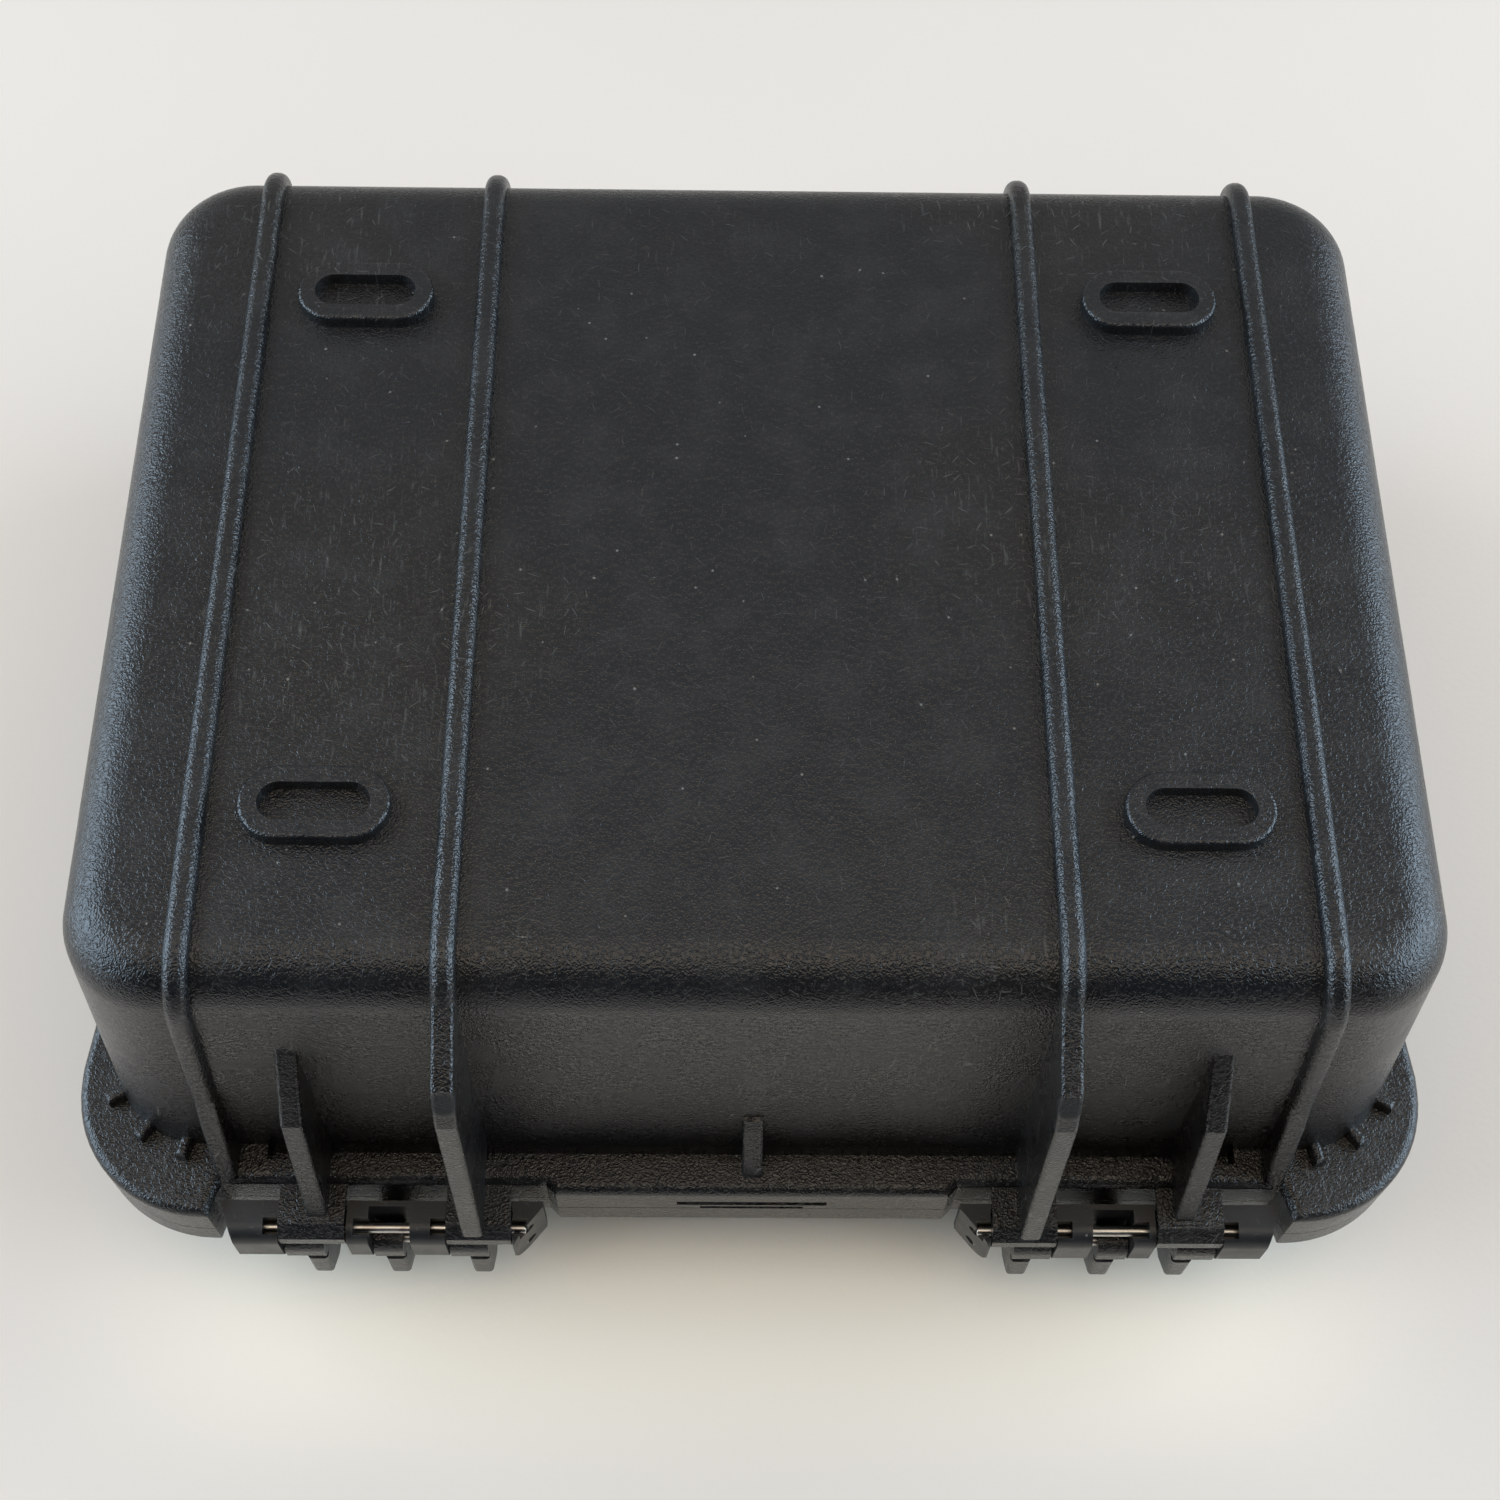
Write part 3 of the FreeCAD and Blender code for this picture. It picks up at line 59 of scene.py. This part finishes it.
class Graph:
    """A node material that is built with one short call per node."""

    def __init__(self, name):
        self.material = bpy.data.materials.new(name)
        self.material.use_nodes = True
        self.tree = self.material.node_tree
        self.tree.nodes.clear()
        self.place = self.add("ShaderNodeTexCoord").outputs["Object"]

    def add(self, kind, inputs=None, **settings):
        node = self.tree.nodes.new(kind)
        for name, value in settings.items():
            setattr(node, name, value)
        for key, value in (inputs or {}).items():
            if isinstance(value, bpy.types.NodeSocket):
                self.tree.links.new(value, node.inputs[key])
            else:
                node.inputs[key].default_value = value
        return node

    def math(self, operation, first, second=0.0, third=0.0):
        inputs = {0: first, 1: second, 2: third}
        return self.add("ShaderNodeMath", inputs, operation=operation).outputs[0]

    def vector(self, operation, first, second=(0, 0, 0), output=0):
        inputs = {0: first, 1: second}
        return self.add("ShaderNodeVectorMath", inputs, operation=operation).outputs[output]

    def ramp(self, value, low, high, start=0.0, end=1.0):
        """value from low..high turned smoothly into start..end."""
        node = self.add("ShaderNodeMapRange", {"Value": value, "From Min": low, "From Max": high,
                                               "To Min": start, "To Max": end},
                        interpolation_type="SMOOTHSTEP")
        return node.outputs["Result"]

    def noise(self, scale, detail=3.0, rough=0.55, place=None, output="Fac"):
        node = self.add("ShaderNodeTexNoise", {"Vector": place or self.place, "Scale": scale,
                                               "Detail": detail, "Roughness": rough})
        return node.outputs[output]

    def cells(self, scale, feature="F1", place=None):
        return self.add("ShaderNodeTexVoronoi", {"Vector": place or self.place, "Scale": scale},
                        feature=feature)

    def mix(self, factor, first, second):
        node = self.add("ShaderNodeMix", {0: factor}, data_type="RGBA")
        for socket, value in ((node.inputs[6], first), (node.inputs[7], second)):
            if isinstance(value, bpy.types.NodeSocket):
                self.tree.links.new(value, socket)
            else:
                socket.default_value = (*value, 1)
        return node.outputs[2]

    def stretched(self, scale, turn=0.0):
        node = self.add("ShaderNodeMapping", {"Vector": self.place, "Scale": scale,
                                              "Rotation": (0, 0, turn)})
        return node.outputs[0]

    def bump(self, height, depth, normal=None):
        inputs = {"Height": height, "Distance": depth}
        if normal is not None:
            inputs["Normal"] = normal
        return self.add("ShaderNodeBump", inputs).outputs[0]

    def finish(self, color, roughness, normal=None, **constants):
        shader = self.add("ShaderNodeBsdfPrincipled", {"Roughness": roughness})
        if isinstance(color, bpy.types.NodeSocket):
            self.tree.links.new(color, shader.inputs["Base Color"])
        else:
            shader.inputs["Base Color"].default_value = (*color, 1)
        if normal is not None:
            self.tree.links.new(normal, shader.inputs["Normal"])
        for name, value in constants.items():
            shader.inputs[name.replace("_", " ")].default_value = value
        out = self.add("ShaderNodeOutputMaterial")
        self.tree.links.new(shader.outputs[0], out.inputs["Surface"])
        return self.material


def near(graph, spot, radius):
    """1 at a spot and at its mirror image across x = 0, fading to 0 at radius."""
    signs = tuple(1 if value >= 0 else -1 for value in spot)
    place = graph.vector("MULTIPLY", graph.vector("ABSOLUTE", graph.place), signs)
    gap = graph.vector("DISTANCE", place, tuple(spot), output=1)
    return graph.ramp(gap, radius * 0.55, radius, 1, 0)


def edge_wear_and_highlight(graph, radius):
    """1 where the surface turns sharply, out or in, within radius: used for rubbed wear and for
    painted edge highlight.
    """
    soft = graph.add("ShaderNodeBevel", {"Radius": radius}, samples=2).outputs[0]
    true = graph.add("ShaderNodeNewGeometry").outputs["Normal"]
    same = graph.vector("DOT_PRODUCT", soft, true, output=1)
    return graph.ramp(same, 0.99, 0.80, 0, 1)


def scratches_and_dust(graph, scale, width, share, speck):
    """One mark to a cell: a short fine line turned its own way, or a speck of dust."""
    cell = graph.cells(scale)
    chance = graph.add("ShaderNodeSeparateColor", {0: cell.outputs["Color"]})
    local = graph.vector("SUBTRACT", graph.place, cell.outputs["Position"])
    angle = graph.math("MULTIPLY", chance.outputs[0], math.tau)
    turned = graph.add("ShaderNodeVectorRotate", {"Vector": local, "Angle": angle},
                       rotation_type="Z_AXIS").outputs[0]
    parts = graph.add("ShaderNodeSeparateXYZ", {0: turned})
    across = graph.math("ABSOLUTE", parts.outputs[1])
    along = graph.math("ABSOLUTE", parts.outputs[0])
    line = graph.ramp(across, width * 0.3, width, 1, 0)
    short = graph.ramp(along, 0.12 / scale, 0.36 / scale, 1, 0)
    chosen = graph.ramp(chance.outputs[1], 1 - share, 1.0)
    marks = graph.math("MULTIPLY", graph.math("MULTIPLY", line, short), chosen)
    grain = graph.ramp(cell.outputs["Distance"], speck * 0.5, speck, 1, 0)
    specks = graph.math("MULTIPLY", grain, graph.math("GREATER_THAN", chance.outputs[2], 0.93))
    return marks, specks


# ---------------------------------------------------------------- materials

SCRATCH_WIDTH = 0.18 * MM
FINE_SCRATCH_WIDTH = 0.16 * MM
SHELL_GRAIN_DEPTH = 0.18 * MM
GATE_MARK_RADIUS = 5.5 * MM
SHELL_EDGE = 1.6 * MM
FINE_EDGE = 0.8 * MM

# Lighter edge colour: partly rubbed wear, partly painted highlight along the edges.
RUBBED_EDGE_AND_HIGHLIGHT = (0.075, 0.074, 0.072)
STREAK = (0.12, 0.118, 0.11)
SCRATCH = (0.13, 0.127, 0.118)
DUST = (0.24, 0.23, 0.20)
TORN_GATE = (0.003, 0.003, 0.003)


def tinted(base, *tint):
    return tuple(value * part for value, part in zip(base, tint))


def leather_grain(graph):
    """The fine wormy texture of the mould, about 0.7 mm from ridge to ridge."""
    wander = graph.noise(700, 0, 0.5, output="Color")
    shift = graph.vector("MULTIPLY", wander, (0.0014,) * 3)
    moved = graph.vector("ADD", graph.place, shift)
    return graph.cells(1400, "F1", moved).outputs["Distance"]


def moulded_shell(name, base, gate_marks=False):
    """Black structural plastic with a leather grain, light handling marks and dust."""
    g = Graph(name)
    broad = g.noise(8, 2)
    cloud = g.noise(52, 4, 0.68)
    grain = leather_grain(g)
    marks, specks = scratches_and_dust(g, 170, SCRATCH_WIDTH, 0.6, 0.10)
    streaks = g.ramp(g.noise(1, 2, 0.6, g.stretched((800, 110, 800), 0.12)), 0.58, 0.74)
    handled = g.ramp(broad, 0.40, 0.60)
    scuffed = g.math("ADD", g.math("MULTIPLY", handled, 0.6), 0.4)
    # Edge mask: partly rubbed wear, partly painted highlight along the edges.
    rub_and_highlight = g.math("MULTIPLY", edge_wear_and_highlight(g, SHELL_EDGE), g.ramp(cloud, 0.35, 0.65))

    color = g.mix(g.ramp(broad, 0.35, 0.65), tinted(base, 0.86, 0.95, 1.10),
                  tinted(base, 1.18, 1.06, 0.94))
    color = g.mix(g.ramp(cloud, 0.42, 0.72, 0, 0.8), color, tinted(base, 1.8, 1.75, 1.7))
    color = g.mix(g.math("MULTIPLY", rub_and_highlight, 0.30), color, RUBBED_EDGE_AND_HIGHLIGHT)
    color = g.mix(g.math("MULTIPLY", g.math("MULTIPLY", streaks, handled), 0.34), color, STREAK)
    color = g.mix(g.math("MULTIPLY", g.math("MULTIPLY", marks, scuffed), 0.6), color, SCRATCH)
    color = g.mix(g.math("MULTIPLY", specks, 0.6), color, DUST)

    rough = g.ramp(cloud, 0.3, 0.72, 0.22, 0.33)
    rough = g.math("SUBTRACT", rough, g.math("MULTIPLY", rub_and_highlight, 0.10))
    height = grain
    if gate_marks:
        spot = near(g, FIN_KINK, GATE_MARK_RADIUS)
        torn = g.noise(900, 2, 0.7)
        color = g.mix(g.math("MULTIPLY", spot, g.ramp(torn, 0.3, 0.6, 0.5, 1)), color, TORN_GATE)
        height = g.math("ADD", grain, g.math("MULTIPLY", g.math("MULTIPLY", spot, 5.0), torn))
        rough = g.math("ADD", rough, g.math("MULTIPLY", spot, 0.45))
    return g.finish(color, rough, g.bump(height, SHELL_GRAIN_DEPTH), Specular_IOR_Level=0.5)


def smooth_plastic(name, base, roughness=0.38):
    """Plain moulded plastic with faint flow marks and edges lightened partly by rubbing, partly as
    painted highlight.
    """
    g = Graph(name)
    cloud = g.noise(70, 4, 0.65)
    marks, specks = scratches_and_dust(g, 260, FINE_SCRATCH_WIDTH, 0.4, 0.13)
    # Edge mask: partly rubbed wear, partly painted highlight along the edges.
    rub_and_highlight = g.math("MULTIPLY", edge_wear_and_highlight(g, FINE_EDGE), g.ramp(cloud, 0.38, 0.62))
    color = g.mix(g.ramp(cloud, 0.3, 0.7), base, tinted(base, 1.5, 1.48, 1.45))
    color = g.mix(g.math("MULTIPLY", rub_and_highlight, 0.4), color, (0.09, 0.088, 0.084))
    color = g.mix(g.math("MULTIPLY", marks, 0.4), color, (0.14, 0.137, 0.13))
    color = g.mix(g.math("MULTIPLY", specks, 0.5), color, (0.25, 0.24, 0.21))
    rough = g.ramp(cloud, 0.3, 0.7, roughness - 0.06, roughness + 0.08)
    return g.finish(color, rough, g.bump(g.noise(1500, 1), 0.00005), Specular_IOR_Level=0.5)


def steel_pin():
    g = Graph("drawn_steel")
    lines = g.noise(1, 3, 0.6, g.stretched((90, 3000, 3000)))
    color = g.mix(g.ramp(lines, 0.3, 0.7), (0.46, 0.44, 0.41), (0.66, 0.64, 0.60))
    stain = g.ramp(g.noise(210, 4, 0.7), 0.52, 0.72)
    color = g.mix(g.math("MULTIPLY", stain, 0.4), color, (0.20, 0.13, 0.08))
    rough = g.ramp(lines, 0.3, 0.7, 0.22, 0.42)
    return g.finish(color, rough, g.bump(lines, 0.00003), Metallic=1.0)


def seal_rubber():
    g = Graph("seal_rubber")
    bloom = g.ramp(g.noise(60, 5, 0.7), 0.35, 0.75)
    color = g.mix(bloom, (0.016, 0.016, 0.017), (0.045, 0.045, 0.046))
    rough = g.ramp(g.noise(200, 3), 0.3, 0.7, 0.62, 0.8)
    return g.finish(color, rough, g.bump(g.noise(2200, 3, 0.6), 0.00005), Specular_IOR_Level=0.4)


def grip_rubber():
    g = Graph("grip_rubber")
    bloom = g.ramp(g.noise(70, 5, 0.7), 0.35, 0.75)
    color = g.mix(bloom, (0.020, 0.020, 0.021), (0.050, 0.049, 0.048))
    specks = scratches_and_dust(g, 500, 0.0001, 0.1, 0.16)[1]
    color = g.mix(g.math("MULTIPLY", specks, 0.5), color, (0.25, 0.24, 0.22))
    rough = g.ramp(g.noise(160, 3), 0.3, 0.7, 0.58, 0.78)
    pebbles = g.cells(1400, "SMOOTH_F1").outputs["Distance"]
    return g.finish(color, rough, g.bump(pebbles, 0.00010), Specular_IOR_Level=0.4)


def woven_film():
    g = Graph("woven_film")
    warp = g.add("ShaderNodeTexWave", {"Vector": g.place, "Scale": 900}, bands_direction="X")
    weft = g.add("ShaderNodeTexWave", {"Vector": g.place, "Scale": 900}, bands_direction="Z")
    weave = g.math("MULTIPLY", warp.outputs["Fac"], weft.outputs["Fac"])
    color = g.mix(weave, (0.46, 0.46, 0.44), (0.72, 0.72, 0.70))
    rough = g.ramp(g.noise(300, 2), 0.3, 0.7, 0.75, 0.9)
    return g.finish(color, rough, g.bump(weave, 0.00008))


def open_cell_foam():
    """Charcoal foam: pores of two sizes, darkened inside as painted shade, a dusty bloom and a
    soft sheen.
    """
    g = Graph("open_cell_foam")
    pores = g.cells(1000, "F1").outputs["Distance"]
    small = g.cells(2300, "F1").outputs["Distance"]
    depth = g.math("ADD", pores, g.math("MULTIPLY", small, 0.5))
    # Painted shade: the pores are darker the deeper they go.
    color = g.mix(g.ramp(depth, 0.25, 0.95), (0.012, 0.012, 0.013), (0.055, 0.055, 0.058))
    color = g.mix(g.ramp(g.noise(30, 4, 0.6), 0.4, 0.75, 0, 0.5), color, (0.075, 0.074, 0.074))
    rough = g.ramp(g.noise(120, 2), 0.3, 0.7, 0.85, 0.97)
    return g.finish(color, rough, g.bump(depth, 0.0004), Specular_IOR_Level=0.2,
                    Sheen_Weight=0.3, Sheen_Roughness=0.6)


SHELL = moulded_shell("grained_shell", (0.0080, 0.0080, 0.0082), gate_marks=True)
LID = moulded_shell("grained_lid", (0.0110, 0.0110, 0.0112))
LINK = smooth_plastic("hinge_plastic", (0.009, 0.009, 0.0095), 0.40)
LATCH = smooth_plastic("latch_plastic", (0.011, 0.011, 0.0115), 0.42)
STEEL = steel_pin()
SEAL = seal_rubber()
GRIP = grip_rubber()
FILM = woven_film()
FOAM = open_cell_foam()

FINISHES = {
    "base_shell": SHELL, "lid_shell": LID, "rim_seal": SEAL, "valve_seal_ring": SEAL,
    "valve_membrane": FILM,
}
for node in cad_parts:
    if "_pin_" in node:
        FINISHES[node] = STEEL
    elif node.startswith("hinge_link"):
        FINISHES[node] = LINK
    elif node.startswith(("latch_", "valve_body", "valve_nut", "handle_frame")):
        FINISHES[node] = LATCH


def give(node, material):
    mesh = bpy.data.objects[node].data
    mesh.materials.clear()
    mesh.materials.append(material)


for node, material in FINISHES.items():
    give(node, material)


# ---------------------------------------------------------------- soft parts

FOAM_MESH = 3 * MM
PAD_MESH = 4 * MM
GRIP_MESH = 0.9 * MM


def remeshed_copy(node, name, voxel, body, material):
    """A fresh, evenly meshed piece of a soft CAD solid's shape, which it then stands for."""
    piece = bpy.data.objects.new(name, bpy.data.objects[node].data.copy())
    bpy.context.scene.collection.objects.link(piece)
    remesh = piece.modifiers.new("Remesh", "REMESH")
    remesh.mode = "VOXEL"
    remesh.voxel_size = voxel
    evaluated = piece.evaluated_get(bpy.context.evaluated_depsgraph_get())
    mesh = bpy.data.meshes.new_from_object(evaluated)
    piece.modifiers.clear()
    piece.data = mesh
    mesh.materials.clear()
    mesh.materials.append(material)
    for face in mesh.polygons:
        face.use_smooth = True
    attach(piece, body)
    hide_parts(node)
    return piece


def relax(piece, repeat):
    tool = piece.modifiers.new("Relax", "SMOOTH")
    tool.factor = 0.5
    tool.iterations = repeat


def lid_foam():
    """Egg-crate foam: rows of soft peaks that hold the load down when the case is shut."""
    piece = remeshed_copy("lid_foam", "lid_foam_eggcrate", FOAM_MESH, "lid", FOAM)
    low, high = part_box("lid_foam")
    pitch, depth, border = 36 * MM, 13 * MM, 12 * MM
    for vertex in piece.data.vertices:
        spot = vertex.co
        if spot.z < high.z - 0.002:
            continue
        edge = min(spot.x - low.x, high.x - spot.x, spot.y - low.y, high.y - spot.y)
        wave = (math.cos(math.tau * spot.x / pitch) * math.cos(math.tau * spot.y / pitch))
        inside = min(1, max(0, edge / border))
        spot.z -= inside * depth * (0.5 - 0.5 * wave)
    relax(piece, 2)


def base_foam():
    """The cut layer: softened bay edges and cut faces that are not quite flat."""
    piece = remeshed_copy("base_foam", "base_foam_bays", FOAM_MESH, "base", FOAM)
    low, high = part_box("base_foam")
    border, unevenness = 12 * MM, 0.7 * MM
    for vertex in piece.data.vertices:
        spot = vertex.co
        inside = min(spot.x - low.x, high.x - spot.x, spot.y - low.y, high.y - spot.y)
        if inside < border:
            continue
        wobble = noise.noise(spot * 28) * unevenness
        spot.x += wobble
        spot.y -= wobble
    relax(piece, 3)


def base_pad():
    """The plain layer behind the cut one, with softened edges."""
    piece = remeshed_copy("base_foam_pad", "base_foam_floor", PAD_MESH, "base", FOAM)
    relax(piece, 2)


def handle_grip():
    """The soft sleeve, with grooves across the faces that the fingers close on."""
    piece = remeshed_copy("handle_grip", "handle_grip_ribbed", GRIP_MESH, "handle",
                          GRIP)
    low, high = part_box("handle_grip")
    middle_y = (low.y + high.y) / 2
    pitch, depth = 5.5 * MM, 0.8 * MM
    rounding, plain_end = 1.2 * MM, 8 * MM
    for vertex in piece.data.vertices:
        spot = vertex.co
        outside = abs(spot.y - middle_y) - ((high.y - low.y) / 2 - rounding)
        if outside < 0 or abs(spot.x) > high.x - plain_end:
            continue
        groove = max(0, math.cos(math.tau * spot.x / pitch)) ** 2
        spot.y -= math.copysign(depth * groove, spot.y - middle_y)
    relax(piece, 1)


lid_foam()
base_foam()
base_pad()
handle_grip()


# ---------------------------------------------------------------- stage, lamps and camera

FLOOR_HALF = 1.3
BACKDROP_LEVEL = 0.72
CARD_SIZE = (2.8, 2.1)
WINDOW_OUT, WINDOW_UP = 1.6, 0.75
WINDOW_SIZE = (1.8, 1.2)
WINDOW_POWER = 42
COOL, WARM = (0.62, 0.81, 1.0), (1.0, 0.82, 0.62)
CEILING_PLACE, CEILING_AIM = (0, -0.35, 1.9), (0, -0.1, 0)
CEILING_SIZE, CEILING_POWER = (1.8, 1.0), 8.5
ROOM_LEVELS = {"From Min": -0.3, "From Max": 0.5, "To Min": 0.34, "To Max": 0.49}
# Table colours: the plain table, a painted pool of warm light just before the case, and faint
# clouding.
TABLE, TABLE_PAINTED_LIGHT_BEFORE_CASE, TABLE_CLOUD = (0.75, 0.65, 0.565), (0.99, 0.86, 0.70), (0.62, 0.56, 0.50)

LENS, SENSOR = 54.0, 36.0
CAMERA_PLACE = (-0.0099, -0.3548, 0.7138)
CAMERA_PITCH, CAMERA_YAW, CAMERA_ROLL = 62.17, 1.52, 1.78


def floor_material():
    """A pale table, with a painted pool of warmer, lighter colour just before the case, against
    the case's shadow there.
    """
    g = Graph("pale_floor")
    parts = g.add("ShaderNodeSeparateXYZ", {0: g.place})
    # Painted light: a warm pool on the table just before the case, where the case's shadow falls.
    before = g.math("MULTIPLY", g.ramp(parts.outputs[1], -0.25, -0.18),
                    g.ramp(parts.outputs[1], -0.08, -0.14))
    beside = g.ramp(g.math("ABSOLUTE", parts.outputs[0]), 0.13, 0.24, 1, 0)
    color = g.mix(g.math("MULTIPLY", before, beside), TABLE, TABLE_PAINTED_LIGHT_BEFORE_CASE)
    color = g.mix(g.ramp(g.noise(5, 2), 0.3, 0.7, 0.0, 0.06), color, TABLE_CLOUD)
    return g.finish(color, 0.75, g.bump(g.noise(400, 1), 0.00005), Specular_IOR_Level=0.2)


def plane(name, size_x, size_y, material):
    mesh = bpy.data.meshes.new(name)
    grid = bmesh.new()
    bmesh.ops.create_grid(grid, x_segments=4, y_segments=4, size=0.5)
    bmesh.ops.scale(grid, vec=(size_x, size_y, 1), verts=grid.verts)
    grid.to_mesh(mesh)
    grid.free()
    mesh.materials.append(material)
    sheet = bpy.data.objects.new(name, mesh)
    bpy.context.scene.collection.objects.link(sheet)
    return sheet


def make_floor():
    plane("floor", 2 * FLOOR_HALF, 2 * FLOOR_HALF, floor_material())


def make_flag():
    """A black card beyond the hinge side, for a dark band in the gloss of the near edge."""
    card = plane("black_card", *CARD_SIZE, Graph("black_card").finish((0.01, 0.01, 0.01), 0.9))
    card.location = (0, -FLOOR_HALF, CARD_SIZE[1] / 2)
    card.rotation_euler = (math.radians(90), 0, 0)
    card.visible_camera = False


def area_lamp(name, place, target, size, power, color):
    data = bpy.data.lights.new(name, "AREA")
    data.shape = "RECTANGLE"
    data.size, data.size_y = size
    data.energy = power
    data.color = color
    lamp = bpy.data.objects.new(name, data)
    lamp.location = place
    aim = Vector(target) - Vector(place)
    lamp.rotation_mode = "QUATERNION"
    lamp.rotation_quaternion = aim.to_track_quat("-Z", "Y")
    bpy.context.scene.collection.objects.link(lamp)


def light_scene():
    """A pale room that is brighter beyond the case, two cool windows and a warm ceiling."""
    world = bpy.data.worlds.new("studio")
    world.use_nodes = True
    tree = world.node_tree
    toward = tree.nodes.new("ShaderNodeTexCoord").outputs["Generated"]
    parts = tree.nodes.new("ShaderNodeSeparateXYZ")
    tree.links.new(toward, parts.inputs[0])
    level = tree.nodes.new("ShaderNodeMapRange")
    for key, value in ROOM_LEVELS.items():
        level.inputs[key].default_value = value
    tree.links.new(parts.outputs[1], level.inputs["Value"])
    backdrop = tree.nodes["Background"]
    backdrop.inputs["Color"].default_value = (1.0, 0.995, 0.985, 1)
    seen = tree.nodes.new("ShaderNodeLightPath")
    shown = tree.nodes.new("ShaderNodeMix")
    shown.inputs["B"].default_value = BACKDROP_LEVEL
    tree.links.new(seen.outputs["Is Camera Ray"], shown.inputs["Factor"])
    tree.links.new(level.outputs["Result"], shown.inputs["A"])
    tree.links.new(shown.outputs["Result"], backdrop.inputs["Strength"])
    bpy.context.scene.world = world
    for name, side in (("window_left", -1), ("window_right", 1)):
        area_lamp(name, (side * WINDOW_OUT, 0.0, WINDOW_UP), (0, 0, 0.1), WINDOW_SIZE,
                  WINDOW_POWER, COOL)
    area_lamp("ceiling", CEILING_PLACE, CEILING_AIM, CEILING_SIZE, CEILING_POWER, WARM)


def make_camera():
    """Looks down on the hinge side, as found from the case's own vanishing lines."""
    data = bpy.data.cameras.new("camera")
    data.lens, data.sensor_width = LENS, SENSOR
    camera = bpy.data.objects.new("camera", data)
    pitch, yaw, roll = map(math.radians, (CAMERA_PITCH, CAMERA_YAW, CAMERA_ROLL))
    look = Vector((math.sin(yaw) * math.cos(pitch), math.cos(yaw) * math.cos(pitch),
                   -math.sin(pitch)))
    level = Vector((math.cos(yaw), -math.sin(yaw), 0))
    rise = level.cross(look)
    right = level * math.cos(roll) + rise * math.sin(roll)
    up = rise * math.cos(roll) - level * math.sin(roll)
    turn = Matrix((right, up, -look)).transposed()
    camera.matrix_world = Matrix.Translation(CAMERA_PLACE) @ turn.to_4x4()
    data.clip_start, data.clip_end = 0.01, 50
    bpy.context.scene.collection.objects.link(camera)
    bpy.context.scene.camera = camera


make_floor()
make_flag()
light_scene()
make_camera()
bpy.context.scene.view_settings.view_transform = "Standard"
